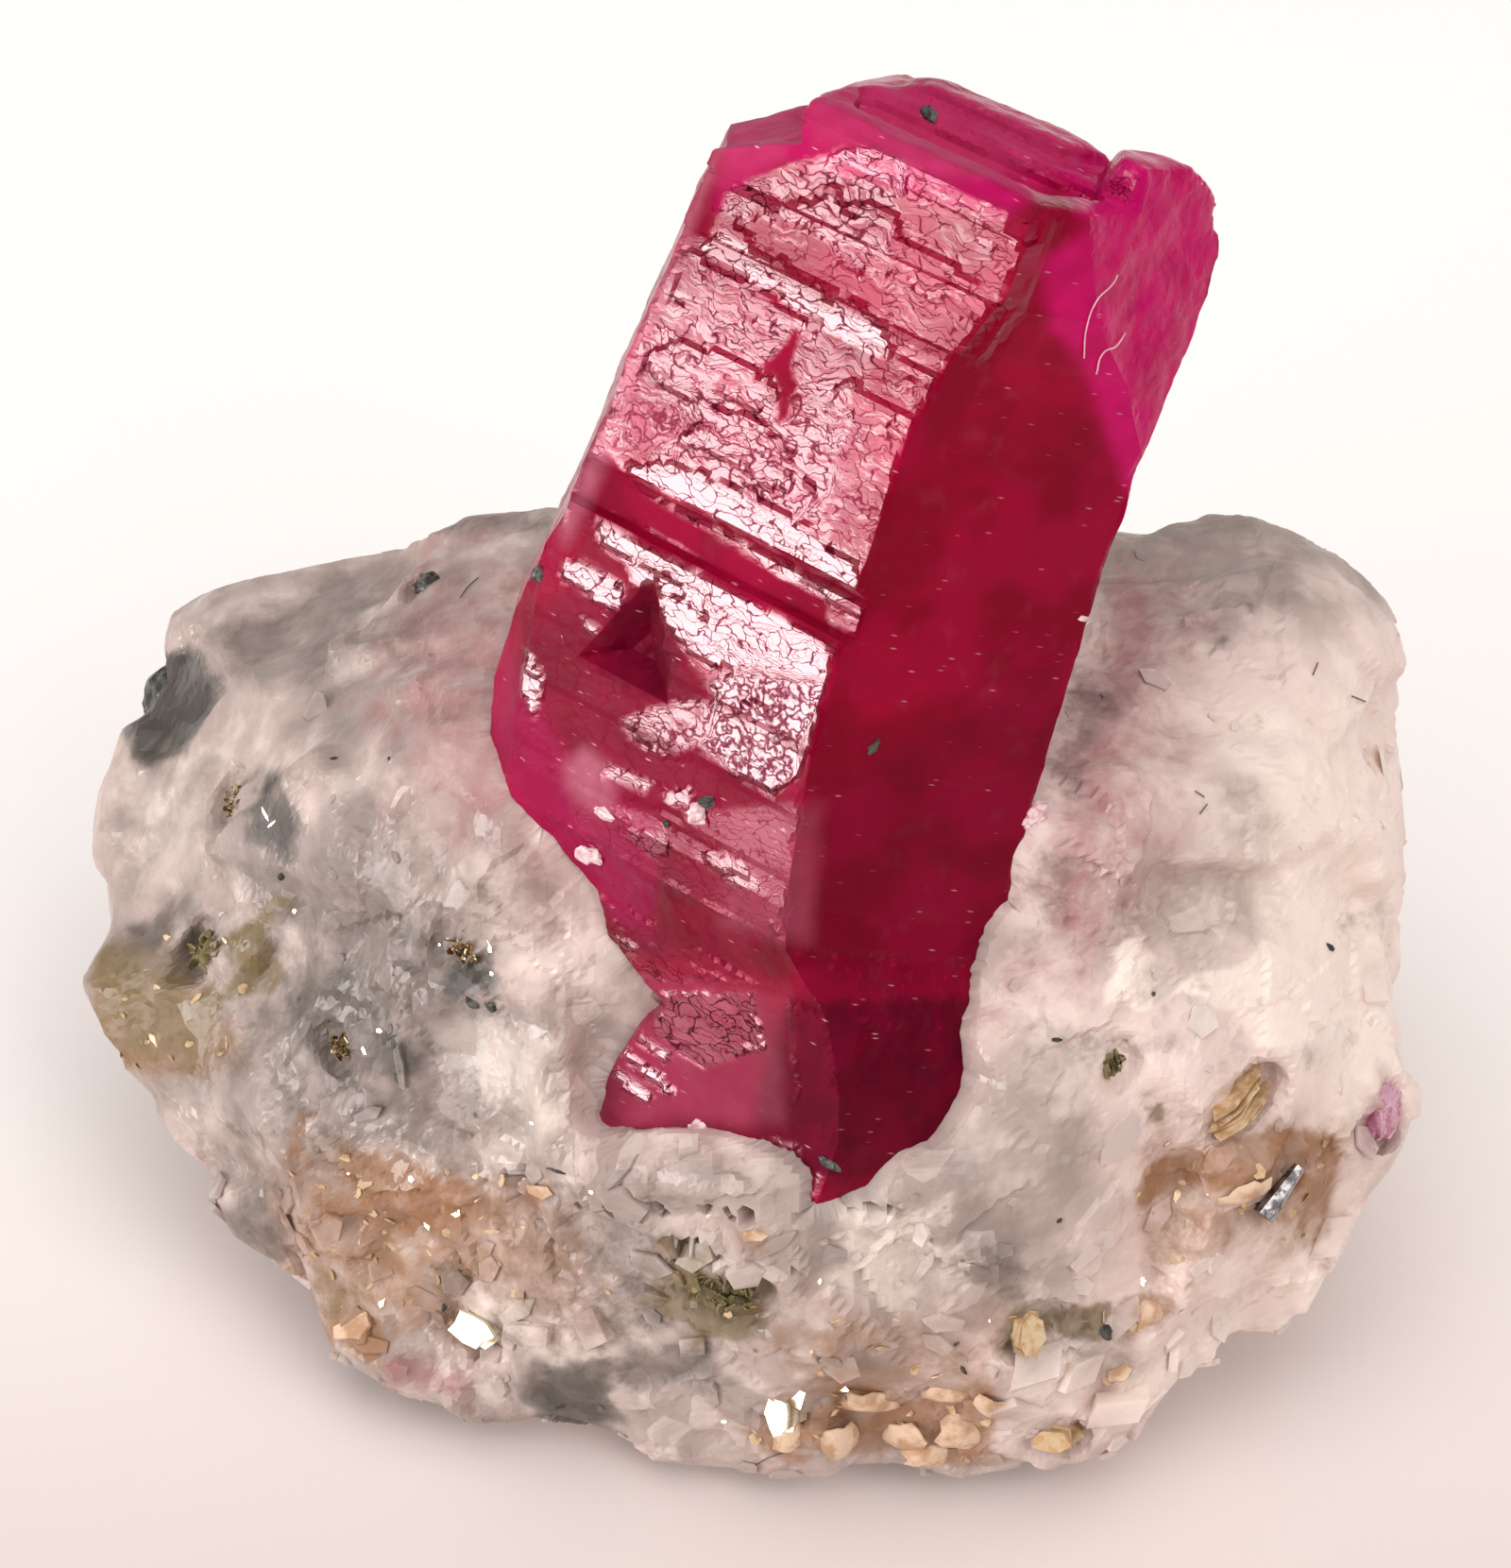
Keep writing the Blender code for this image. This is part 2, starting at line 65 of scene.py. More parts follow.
# %% Camera and lines of sight
PICTURE = (1600, 1660)
LENS = 110.0
SENSOR = 36.0
LOOK_DOWN = math.radians(45.0)
AIM = Vector((0.0, 2.188, 13.287)) * MM
AWAY = 128.83 * MM
ACROSS = Vector((1.0, 0.0, 0.0))
UPWARD = Vector((0.0, math.sin(LOOK_DOWN), math.cos(LOOK_DOWN)))
TO_EYE = Vector((0.0, -math.cos(LOOK_DOWN), math.sin(LOOK_DOWN)))
EYE = AIM + TO_EYE * AWAY
PER_PIXEL = SENSOR / LENS / PICTURE[1]


def make_camera():
    lens = bpy.data.cameras.new("camera")
    lens.lens = LENS
    lens.sensor_width = SENSOR
    lens.sensor_fit = "AUTO"
    lens.clip_start = 0.001
    camera = bpy.data.objects.new("camera", lens)
    camera.location = EYE
    camera.rotation_euler = (LOOK_DOWN, 0.0, 0.0)
    bpy.context.scene.collection.objects.link(camera)
    bpy.context.scene.camera = camera
    return camera


def sight(x, y):
    """Direction from the eye through a place in the picture."""
    right = (x - PICTURE[0] / 2) * PER_PIXEL
    rise = (PICTURE[1] / 2 - y) * PER_PIXEL
    return (ACROSS * right + UPWARD * rise - TO_EYE).normalized()


def in_picture(points):
    """Where points of the model show in the picture, as columns x and y."""
    rel = points - np.array(EYE)
    depth = -rel @ np.array(TO_EYE)
    x = PICTURE[0] / 2 + rel @ np.array(ACROSS) / depth / PER_PIXEL
    y = PICTURE[1] / 2 - rel @ np.array(UPWARD) / depth / PER_PIXEL
    return np.stack([x, y], axis=1)


make_camera()
print("camera at", [round(c / MM, 1) for c in EYE], "mm")

# %% [markdown]
# ## Small helpers for node trees
#
# Shader trees and geometry trees are built the same way: put a node down, then give
# each of its sockets either a value or another node's output. One helper does both,
# so the trees below read as lists of what each node takes.

# %% Node helpers


def put(tree, kind, inputs=None, **settings):
    """Add a node; each input is a value, or an output socket to link from."""
    made = tree.nodes.new(kind)
    for name, value in settings.items():
        setattr(made, name, value)
    for name, value in (inputs or {}).items():
        socket = made.inputs[name]
        if isinstance(value, bpy.types.NodeSocket):
            tree.links.new(value, socket)
        else:
            socket.default_value = value
    return made


def math_node(tree, what, a, b=0.0, clamp=False):
    made = put(tree, "ShaderNodeMath", {0: a, 1: b}, operation=what, use_clamp=clamp)
    return made.outputs[0]


def remap(tree, value, low, high, to_low=0.0, to_high=1.0):
    """Slide a value smoothly from one span to another."""
    made = put(
        tree, "ShaderNodeMapRange",
        {"Value": value, "From Min": low, "From Max": high, "To Min": to_low, "To Max": to_high},
        interpolation_type="SMOOTHSTEP",
    )
    return made.outputs["Result"]


def mix_colour(tree, share, a, b, mode="MIX"):
    made = put(
        tree, "ShaderNodeMix", {0: share, 6: a, 7: b},
        data_type="RGBA", blend_type=mode, clamp_factor=True,
    )
    return made.outputs[2]


def mix_value(tree, share, a, b):
    made = put(tree, "ShaderNodeMix", {0: share, 2: a, 3: b}, data_type="FLOAT")
    return made.outputs[0]


def noise_at(tree, place, size_mm, detail=4.0, roughness=0.55, distortion=0.0):
    """Cloudy noise whose lumps are about so many millimetres across."""
    made = put(
        tree, "ShaderNodeTexNoise",
        {"Vector": place, "Scale": 1.0 / (size_mm * MM), "Detail": detail,
         "Roughness": roughness, "Distortion": distortion},
    )
    return made.outputs["Fac"]


def cells_at(tree, place, size_mm, feature="F1", randomness=1.0):
    made = put(
        tree, "ShaderNodeTexVoronoi",
        {"Vector": place, "Scale": 1.0 / (size_mm * MM), "Randomness": randomness},
        feature=feature,
    )
    return made


def own_value(tree, name):
    """A number that the piece's own mesh carries at each point."""
    return put(tree, "ShaderNodeAttribute", attribute_name=name).outputs["Fac"]


def object_place(tree):
    return put(tree, "ShaderNodeTexCoord").outputs["Object"]


def new_material(name):
    made = bpy.data.materials.new(name)
    made.use_nodes = True
    tree = made.node_tree
    return made, tree, tree.nodes["Principled BSDF"], tree.nodes["Material Output"]


def new_group(name, inputs, outputs):
    """A shader group with named sockets; each entry is name, kind and start value."""
    tree = bpy.data.node_groups.new(name, "ShaderNodeTree")
    for label, kind, start in inputs:
        socket = tree.interface.new_socket(name=label, in_out="INPUT", socket_type=kind)
        if start is not None:
            socket.default_value = start
    for label, kind in outputs:
        tree.interface.new_socket(name=label, in_out="OUTPUT", socket_type=kind)
    return tree, tree.nodes.new("NodeGroupInput"), tree.nodes.new("NodeGroupOutput")


def use_group(tree, group, inputs):
    return put(tree, "ShaderNodeGroup", inputs, node_tree=group)


print("node helpers ready")

# %% [markdown]
# ## Mesh helpers
#
# Fine relief is worked out for all points of a mesh at once, as rows of numbers, and
# written back. Each helper below does one such step: read the points, write them,
# store a number for each point that a material can read later.

# %% Mesh helpers


def points_of(mesh):
    flat = np.empty(len(mesh.vertices) * 3, np.float32)
    mesh.vertices.foreach_get("co", flat)
    return flat.reshape(-1, 3).astype(float)


def normals_of(mesh):
    flat = np.empty(len(mesh.vertices) * 3, np.float32)
    mesh.vertices.foreach_get("normal", flat)
    return flat.reshape(-1, 3).astype(float)


def set_points(mesh, points):
    mesh.vertices.foreach_set("co", points.astype(np.float32).ravel())
    mesh.update()


def keep_value(mesh, name, values):
    """Store one number for each point under a name."""
    layer = mesh.attributes.new(name, "FLOAT", "POINT")
    layer.data.foreach_set("value", values.astype(np.float32))


def keep_vector(mesh, name, values):
    layer = mesh.attributes.new(name, "FLOAT_VECTOR", "POINT")
    layer.data.foreach_set("vector", values.astype(np.float32).ravel())


def read_value(mesh, name):
    values = np.empty(len(mesh.vertices), np.float32)
    mesh.attributes[name].data.foreach_get("value", values)
    return values.astype(float)


def noise_rows(points, size, shift=0.0, octaves=3):
    """Cloudy noise from -1 to 1 for many points, with lumps of about this size."""
    at = points / size + shift
    return np.array([noise.fractal(Vector(p), 1.0, 2.0, octaves) for p in at])


def facet_rows(points, size, tilt=1.3, shift=0.0):
    """Height of tilted flat grain faces, each owned by the nearest grain middle."""
    at = points / size + shift
    rows = np.empty(len(at))
    for i, p in enumerate(at):
        middle = noise.voronoi(Vector(p))[1][0]
        lean = noise.noise_vector(middle * 3.7)
        rows[i] = tilt * lean.dot(Vector(p) - middle) + noise.noise(middle * 5.3)
    return rows * size


def smooth_step(low, high, values):
    t = np.clip((values - low) / (high - low), 0.0, 1.0)
    return t * t * (3.0 - 2.0 * t)


def merged(node):
    """A copy of a frame solid with its loose triangles joined up."""
    bm = bmesh.new()
    bm.from_mesh(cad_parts[node].data)
    bmesh.ops.remove_doubles(bm, verts=bm.verts, dist=0.001 * MM)
    return bm


def tree_of(obj):
    bm = bmesh.new()
    bm.from_mesh(obj.data)
    tree = BVHTree.FromBMesh(bm)
    bm.free()
    return tree


def add_piece(name, mesh):
    made = bpy.data.objects.new(name, mesh)
    bpy.context.scene.collection.objects.link(made)
    return made


def from_bmesh(name, bm):
    mesh = bpy.data.meshes.new(name)
    bm.to_mesh(mesh)
    bm.free()
    return add_piece(name, mesh)


def settle(obj):
    """Turn an object's modifiers into plain mesh."""
    seen_by = bpy.context.evaluated_depsgraph_get()
    mesh = bpy.data.meshes.new_from_object(obj.evaluated_get(seen_by))
    obj.modifiers.clear()
    obj.data = mesh
    return obj


def finish_with(obj, material):
    obj.data.materials.clear()
    obj.data.materials.append(material)
    return obj


print("mesh helpers ready")

# %% [markdown]
# ## Studio
#
# A pale floor whose colour is painted darker, from white at the back to a faint
# pinkish beige in front, as painted shade; a low softbox on the left, a broad panel
# overhead and a weaker one on the right. The left box stands where the crystal's left
# face mirrors it into the lens, which is what makes that face gleam while the one
# beside it stays deep red.

# %% Floor and lights
FLOOR_HALF = 1.5
# Painted shade: the floor's colour runs darker from the back to the front.
FLOOR_BACK = (1.0, 0.975, 0.96, 1.0)
FLOOR_FRONT = (0.66, 0.55, 0.52, 1.0)
KEY_DIRECTION = Vector((-0.883, -0.456, 0.113))
LIGHTS = {
    # name: direction, distance and sizes in m, brightness, colour
    "left_box": (KEY_DIRECTION, 0.30, (0.17, 0.17), 9.0, (1.0, 0.97, 0.96)),
    "top_panel": (Vector((0.0, -0.1, 1.0)), 0.50, (0.46, 0.46), 1.9, (1.0, 0.98, 0.97)),
    "right_box": (Vector((0.60, -0.60, 0.70)), 0.40, (0.22, 0.22), 2.9, (1.0, 0.95, 0.91)),
}
ROOM_LIGHT = ((1.0, 0.965, 0.95, 1.0), 0.46)


def floor_material():
    made, tree, shader, _ = new_material("pale_paper")
    place = put(tree, "ShaderNodeSeparateXYZ", {0: object_place(tree)}).outputs["Y"]
    # painted shade: the floor is darker towards the front
    share = remap(tree, place, -0.035, 0.025)
    grain = noise_at(tree, object_place(tree), 3.0, 3.0)
    share = math_node(tree, "ADD", share, math_node(tree, "MULTIPLY", grain, 0.02))
    tree.links.new(mix_colour(tree, share, FLOOR_FRONT, FLOOR_BACK), shader.inputs["Base Color"])
    shader.inputs["Roughness"].default_value = 0.75
    shader.inputs["Specular IOR Level"].default_value = 0.2
    return made


def make_floor():
    bm = bmesh.new()
    bmesh.ops.create_grid(bm, x_segments=2, y_segments=2, size=FLOOR_HALF)
    floor = from_bmesh("floor", bm)
    finish_with(floor, floor_material())
    return floor


def make_light(name, direction, distance, sizes, brightness, colour):
    lamp = bpy.data.lights.new(name, "AREA")
    lamp.shape = "RECTANGLE"
    lamp.size, lamp.size_y = sizes
    lamp.energy = brightness * math.pi * sizes[0] * sizes[1]
    lamp.color = colour
    made = bpy.data.objects.new(name, lamp)
    made.location = AIM + direction.normalized() * distance
    made.rotation_euler = direction.to_track_quat("Z", "Y").to_euler()
    bpy.context.scene.collection.objects.link(made)
    return made


def make_room():
    world = bpy.data.worlds.new("room")
    bpy.context.scene.world = world
    world.use_nodes = True
    colour, strength = ROOM_LIGHT
    world.node_tree.nodes["Background"].inputs["Color"].default_value = colour
    world.node_tree.nodes["Background"].inputs["Strength"].default_value = strength


make_floor()
for light_name, light_values in LIGHTS.items():
    make_light(light_name, *light_values)
make_room()
bpy.context.scene.view_settings.view_transform = "Standard"
print("studio:", ", ".join(LIGHTS))

# %% [markdown]
# ## The ruby's shape
#
# A ruby prism is a stack of thin growth layers, so its faces are flat but carry steps
# and striations that run straight across, square to its length. The frame's solid has
# the main steps. A Remesh in sharp mode gives it an even, fine mesh and keeps its
# edges, and then each face gets its own relief, pushed out along the face.

# %% The crystal's own frame
RUBY_FOOT = Vector((-2.3, -5.5, 11.6)) * MM
RUBY_LEAN = (-26.5, 13.0, -13.3)
RUBY_CELLS = 8
RUBY_FILL = 0.72
LEFT_TURN = math.radians(27.0)
RIGHT_TURN = math.radians(33.0)
LEFT_OUT = np.array((-math.sin(LEFT_TURN), -math.cos(LEFT_TURN), 0.0))
RIGHT_OUT = np.array((math.sin(RIGHT_TURN), -math.cos(RIGHT_TURN), 0.0))


def crystal_matrix():
    turn = Euler([math.radians(a) for a in RUBY_LEAN], "XYZ").to_matrix().to_4x4()
    return Matrix.Translation(RUBY_FOOT) @ turn


TO_WORLD = crystal_matrix()
TO_CRYSTAL = TO_WORLD.inverted()
LEFT_FACE_OUT = (TO_WORLD.to_3x3() @ Vector(LEFT_OUT)).normalized()


def fine_ruby():
    bm = merged("ruby_crystal")
    bmesh.ops.transform(bm, matrix=TO_CRYSTAL, verts=bm.verts)
    piece = from_bmesh("ruby", bm)
    remesh = piece.modifiers.new("fine", "REMESH")
    remesh.mode = "SHARP"
    remesh.octree_depth = RUBY_CELLS
    remesh.scale = RUBY_FILL
    remesh.use_remove_disconnected = False
    return settle(piece)


ruby = fine_ruby()
print("ruby mesh:", len(ruby.data.vertices), "points")

# %% [markdown]
# Growth and etching left the left face in areas: mirror-bright plates, bands of a
# duller pink, deep red hollows and one corner of curly cracks. Their outlines are
# given as they show in the picture, and are painted on in order, one over the other.
# Each area says how much of it gleams and how curly its cracks are.

# %% Areas of the crystal's skin
PLAIN_SHINE = 0.34
FACE_AREAS = [
    # how much gleams, how curly the cracks are, corners in the picture
    (0.04, 0.0, ((735, 90), (1000, 90), (1120, 240), (1080, 250), (1010, 196), (965, 166), (909, 155),
                 (837, 174), (768, 205), (750, 250), (725, 250))),
    (0.54, 0.15, ((768, 202), (837, 174), (909, 155), (956, 164), (965, 202), (946, 261), (943, 292),
                 (899, 280), (852, 239), (809, 230), (771, 236))),
    (0.70, 0.0, ((740, 300), (852, 345), (880, 400), (850, 520), (800, 560), (700, 500), (690, 400))),
    (0.56, 0.0, ((731, 264), (852, 336), (931, 374), (950, 410), (905, 520), (860, 600), (760, 530),
                 (680, 480), (677, 393), (712, 300))),
    (0.60, 0.35, ((715, 410), (790, 405), (880, 430), (885, 520), (820, 560), (720, 500))),
    (0.38, 0.0, ((960, 180), (1070, 225), (975, 400), (915, 560), (872, 545), (925, 380), (945, 270))),
    (0.30, 0.0, ((778, 243), (830, 233), (896, 280), (940, 305), (931, 330), (881, 314), (821, 277))),
    (0.97, 0.0, ((740, 258), (765, 247), (812, 277), (881, 321), (940, 346), (943, 377), (899, 361),
                 (856, 333), (806, 302), (759, 277))),
    (0.90, 0.0, ((665, 489), (687, 489), (734, 496), (778, 521), (821, 546), (853, 564), (909, 593),
                 (903, 631), (888, 637), (831, 612), (772, 568), (719, 540), (674, 514))),
    (0.0, 0.0, ((799, 399), (821, 377), (843, 349), (848, 358), (837, 380), (845, 411), (837, 418),
                (834, 446), (824, 446), (826, 411), (821, 396))),
    (0.36, 0.6, ((659, 421), (715, 424), (728, 452), (690, 483), (662, 468))),
    (0.0, 0.0, ((640, 480), (675, 520), (722, 545), (765, 575), (812, 603), (875, 637), (878, 680),
                (844, 665), (797, 630), (747, 596), (719, 574), (655, 543), (600, 560), (620, 500))),
    (0.10, 0.2, ((560, 560), (650, 545), (690, 640), (760, 735), (860, 800), (850, 1010), (700, 1010),
                 (560, 900), (500, 760))),
    (0.96, 0.0, ((634, 540), (675, 556), (719, 578), (747, 599), (794, 637), (875, 684), (881, 720),
                 (841, 715), (781, 706), (752, 708), (719, 674), (687, 634), (668, 612), (662, 596),
                 (634, 574))),
    (0.92, 1.0, ((750, 724), (781, 709), (881, 721), (866, 759), (853, 790), (844, 821), (819, 843),
                 (775, 818), (744, 790), (731, 759), (759, 740))),
    (0.58, 0.4, ((656, 762), (700, 746), (757, 740), (752, 778), (719, 799), (694, 799), (669, 781))),
    (0.90, 0.1, ((594, 596), (619, 593), (659, 618), (661, 653), (656, 657), (625, 628), (597, 615))),
    (0.85, 0.1, ((616, 656), (656, 678), (656, 690), (644, 684), (619, 665))),
    (0.90, 0.1, ((553, 690), (562, 693), (575, 715), (572, 740), (567, 759), (553, 734))),
    (0.62, 0.5, ((703, 968), (762, 956), (800, 974), (825, 993), (822, 1030), (781, 1018), (734, 990))),
    (0.75, 0.3, ((642, 808), (692, 830), (684, 838), (640, 820))),
    (0.75, 0.2, ((668, 925), (686, 930), (690, 950), (678, 962), (664, 945))),
    (0.80, 0.2, ((645, 985), (678, 1000), (670, 1014), (640, 996))),
    (0.70, 0.4, ((765, 905), (800, 925), (792, 950), (762, 935))),
    (0.70, 0.2, ((705, 838), (735, 835), (730, 852), (704, 850))),
    (0.24, 0.0, ((600, 850), (720, 860), (850, 850), (830, 1040), (720, 1030), (640, 980))),
    (0.70, 0.0, ((660, 876), (700, 884), (716, 902), (690, 906))),
    (0.66, 0.0, ((735, 900), (790, 915), (812, 944), (770, 936))),
    (0.04, 0.1, ((690, 1040), (830, 1045), (850, 1210), (700, 1200), (615, 1200), (640, 1100))),
    (0.60, 0.12, ((690, 1048), (800, 1052), (812, 1110), (745, 1130), (695, 1095))),
    (0.0, 0.0, ((838, 1030), (905, 1030), (905, 1250), (850, 1240))),
    (0.95, 0.0, ((665, 1092), (672, 1086), (712, 1116), (704, 1124))),
    (0.95, 0.0, ((650, 1112), (657, 1106), (702, 1140), (694, 1148))),
    (0.95, 0.0, ((642, 1135), (649, 1129), (692, 1160), (684, 1168))),
    (0.95, 0.0, ((672, 1132), (679, 1126), (718, 1153), (710, 1160))),
]
SKIN_TINTS = {
    # corners in the picture of paler and violet places in the crystal, and of painted shade at its foot, low down
    # and in hollows
    "milky": [(1.0, ((597, 809), (619, 792), (641, 806), (653, 834), (647, 865), (625, 856), (600, 834))),
              (0.9, ((758, 150), (782, 118), (700, 320), (640, 500), (600, 575), (592, 560), (690, 310))),
              (0.22, ((745, 112), (838, 92), (830, 172), (745, 205))),
              (0.22, ((850, 110), (950, 75), (1150, 140), (1140, 175), (1000, 190), (860, 150))),
              (0.30, ((770, 860), (870, 850), (860, 1000), (760, 980))),
              (0.28, ((640, 1030), (830, 1050), (830, 1190), (620, 1210)))],
    "magenta": [(1.0, ((1158, 240), (1102, 280), (1112, 344), (1144, 384), (1160, 424), (1200, 535),
                       (1310, 400), (1310, 180), (1190, 140), (1110, 180))),
                (0.8, ((770, 100), (900, 70), (1130, 110), (1170, 160), (1060, 230), (830, 170),
                       (760, 220))),
                (0.15, ((640, 1030), (800, 1050), (800, 1190), (620, 1210))),
                (0.3, ((520, 650), (600, 800), (700, 870), (690, 1000), (560, 900), (500, 760)))],
    # painted shade: the crystal's foot, its lower part, the lower left and a pit
    "shaded": [(0.9, ((830, 1060), (1060, 1050), (1040, 1240), (860, 1250), (790, 1200))),
               (0.35, ((870, 840), (1130, 700), (1070, 1060), (850, 1060))),
               (0.45, ((560, 640), (640, 610), (760, 740), (850, 860), (840, 1040), (640, 1000), (530, 800))),
               (0.85, ((640, 650), (680, 605), (735, 690), (700, 740), (628, 725)))],
}
AREA_EDGE = 4.0            # picture dots over which an area fades out
AREA_WAVER = 3.0           # picture dots by which its outline wanders


def area_rows(at, corners, edge):
    """1 inside a polygon and 0 outside it, for many places in the picture."""
    x, y = at[:, 0], at[:, 1]
    inside = np.zeros(len(at), bool)
    nearest = np.full(len(at), np.inf)
    for (ax, ay), (bx, by) in zip(corners, corners[1:] + corners[:1]):
        crosses = (ay > y) != (by > y)
        inside ^= crosses & (x < ax + (bx - ax) * (y - ay) / (by - ay + 1e-9))
        along = ((x - ax) * (bx - ax) + (y - ay) * (by - ay)) / ((bx - ax) ** 2 + (by - ay) ** 2)
        along = np.clip(along, 0.0, 1.0)
        nearest = np.minimum(nearest, np.hypot(x - ax - along * (bx - ax), y - ay - along * (by - ay)))
    return smooth_step(-edge, edge, np.where(inside, nearest, -nearest))


def paint_areas(place, world, seen):
    """How much gleams and how curly the cracks are, for points of the crystal."""
    waver = np.stack([noise_rows(place, 0.7, s, 3) for s in (5.0, 9.0)], axis=1)
    at = in_picture(world) + AREA_WAVER * waver
    shine = np.full(len(place), PLAIN_SHINE)
    curl = np.zeros(len(place))
    for level, curly, corners in FACE_AREAS:
        share = area_rows(at, corners, AREA_EDGE) * seen
        shine += share * (level - shine)
        curl += share * (curly - curl)
    tints = {name: np.zeros(len(place)) for name in SKIN_TINTS}
    for name, spots in SKIN_TINTS.items():
        for level, corners in spots:
            tints[name] = np.maximum(tints[name], level * area_rows(at, corners, 3 * AREA_EDGE) * seen)
    return shine, curl, tints


print("areas:", len(FACE_AREAS), "tints:", list(SKIN_TINTS))

# %% [markdown]
# The relief is given in the crystal's own millimetres: z along its length, x across.
# Growth steps follow z with a slight waver, and end in ragged fronts. Plates that
# gleam stand a few hundredths of a millimetre proud, and hollows lie lower.

# %% Growth steps and plates
STEP_SIZE = 1.7          # mm between growth steps
STEP_HEIGHT = 0.02      # mm
PLATE_HEIGHT = 0.03
PLATE_STRETCH = np.array((0.36, 0.36, 1.0))
FILL_FROM = (20.75, 3.50)    # mm: place along the crystal, and how far out the face lies
FILL_TO = (24.6, 3.40)
FILL_MOST = 1.0
FILL_SHARE = 0.9
HEAD_FROM = 24.7 * MM
HEAD_ROUNDS = 6


def terraces(place, gap, waver):
    """Saw-edged steps that run square to the crystal's length."""
    drift = waver * noise_rows(place * PLATE_STRETCH, 2.5, 7.0)
    level = place[:, 2] / gap + drift
    ledge = level - np.floor(level)
    return smooth_step(0.0, 0.14, ledge) * (1.0 - ledge)


def plates(place, shine):
    """Raised, flat-topped patches, long across the face; more of them where more gleams."""
    cloud = noise_rows(place * PLATE_STRETCH, 1.1, 31.0, 4)
    return smooth_step(-0.04, 0.05, cloud + 1.2 * (shine - 0.5))


def facing(normals, out, low=0.93, high=0.985):
    return smooth_step(low, high, normals @ out)


def fill_steps(piece):
    """Make the steps under the left face's top as shallow as they are on real growth."""
    place = points_of(piece.data) / MM
    along = (place[:, 2] - FILL_FROM[0]) / (FILL_TO[0] - FILL_FROM[0])
    full = FILL_FROM[1] + along * (FILL_TO[1] - FILL_FROM[1])
    out = place @ LEFT_OUT
    normals = normals_of(piece.data)
    share = smooth_step(full - FILL_MOST, full - 0.75 * FILL_MOST, out) * (out < full)
    share *= np.maximum(smooth_step(0.3, 0.8, normals @ LEFT_OUT), smooth_step(0.4, 0.7, np.abs(normals[:, 2])))
    share *= smooth_step(-0.02, 0.02, along) * smooth_step(1.05, 1.0, along)
    set_points(piece.data, (place + LEFT_OUT * (FILL_SHARE * share * (full - out))[:, None]) * MM)


def soften_head(piece):
    """The head dissolved a little after it grew, which rounded its steps."""
    bm = bmesh.new()
    bm.from_mesh(piece.data)
    head = [v for v in bm.verts if v.co.z > HEAD_FROM]
    for _ in range(HEAD_ROUNDS):
        bmesh.ops.smooth_vert(bm, verts=head, factor=0.5, use_axis_x=True, use_axis_y=True, use_axis_z=True)
    bm.to_mesh(piece.data)
    bm.free()


def relieve_ruby(piece):
    fill_steps(piece)
    soften_head(piece)
    place = points_of(piece.data) / MM
    normals = normals_of(piece.data)
    turn = np.array(TO_WORLD.to_3x3())
    world = place * MM @ turn.T + np.array(TO_WORLD.translation)
    seen = smooth_step(0.0, 0.25, normals @ turn.T @ np.array(TO_EYE))
    shine, curl, tints = paint_areas(place, world, seen)
    left = facing(normals, LEFT_OUT)
    right = facing(normals, RIGHT_OUT)
    others = 1.0 - np.maximum(left, right)
    height = left * (PLATE_HEIGHT * plates(place, shine) + STEP_HEIGHT * terraces(place, STEP_SIZE, 0.25))
    height += right * 0.4 * STEP_HEIGHT * terraces(place + 3.0, 2.6, 0.5)
    height += others * 0.09 * (noise_rows(place, 1.3, 3.0, 4) - 0.2)
    moved = place + normals * height[:, None]
    cloud = 0.5 + 0.35 * noise_rows(place, 2.2, 50.0, 4)
    stored = {"left_face": left, "right_face": right, "shine": shine, "curl": curl, "cloud": cloud, **tints}
    for name, values in stored.items():
        keep_value(piece.data, name, values)
    keep_vector(piece.data, "crystal", place)
    set_points(piece.data, moved * MM)
    piece.data.transform(TO_WORLD)


relieve_ruby(ruby)
ruby_tree = tree_of(ruby)
print("ruby relief:", PLATE_HEIGHT, "mm plates")


# %% [markdown]
# ## Shared surface effects
#
# Three effects are used by more than one material, so each is a node group: plates cut
# by fine cracks, as on etched crystal faces; ragged patches, which turn a soft stored
# number into a stain with a broken edge; and small bright or dark flecks.

# %% Shader groups


def crack_lines(tree, at, pitch, width):
    """1 on the cells of a crazed surface, 0 along its cracks."""
    cells = put(tree, "ShaderNodeTexVoronoi", {"Vector": at, "Scale": pitch}, feature="DISTANCE_TO_EDGE")
    return remap(tree, cells.outputs["Distance"], 0.01, width)


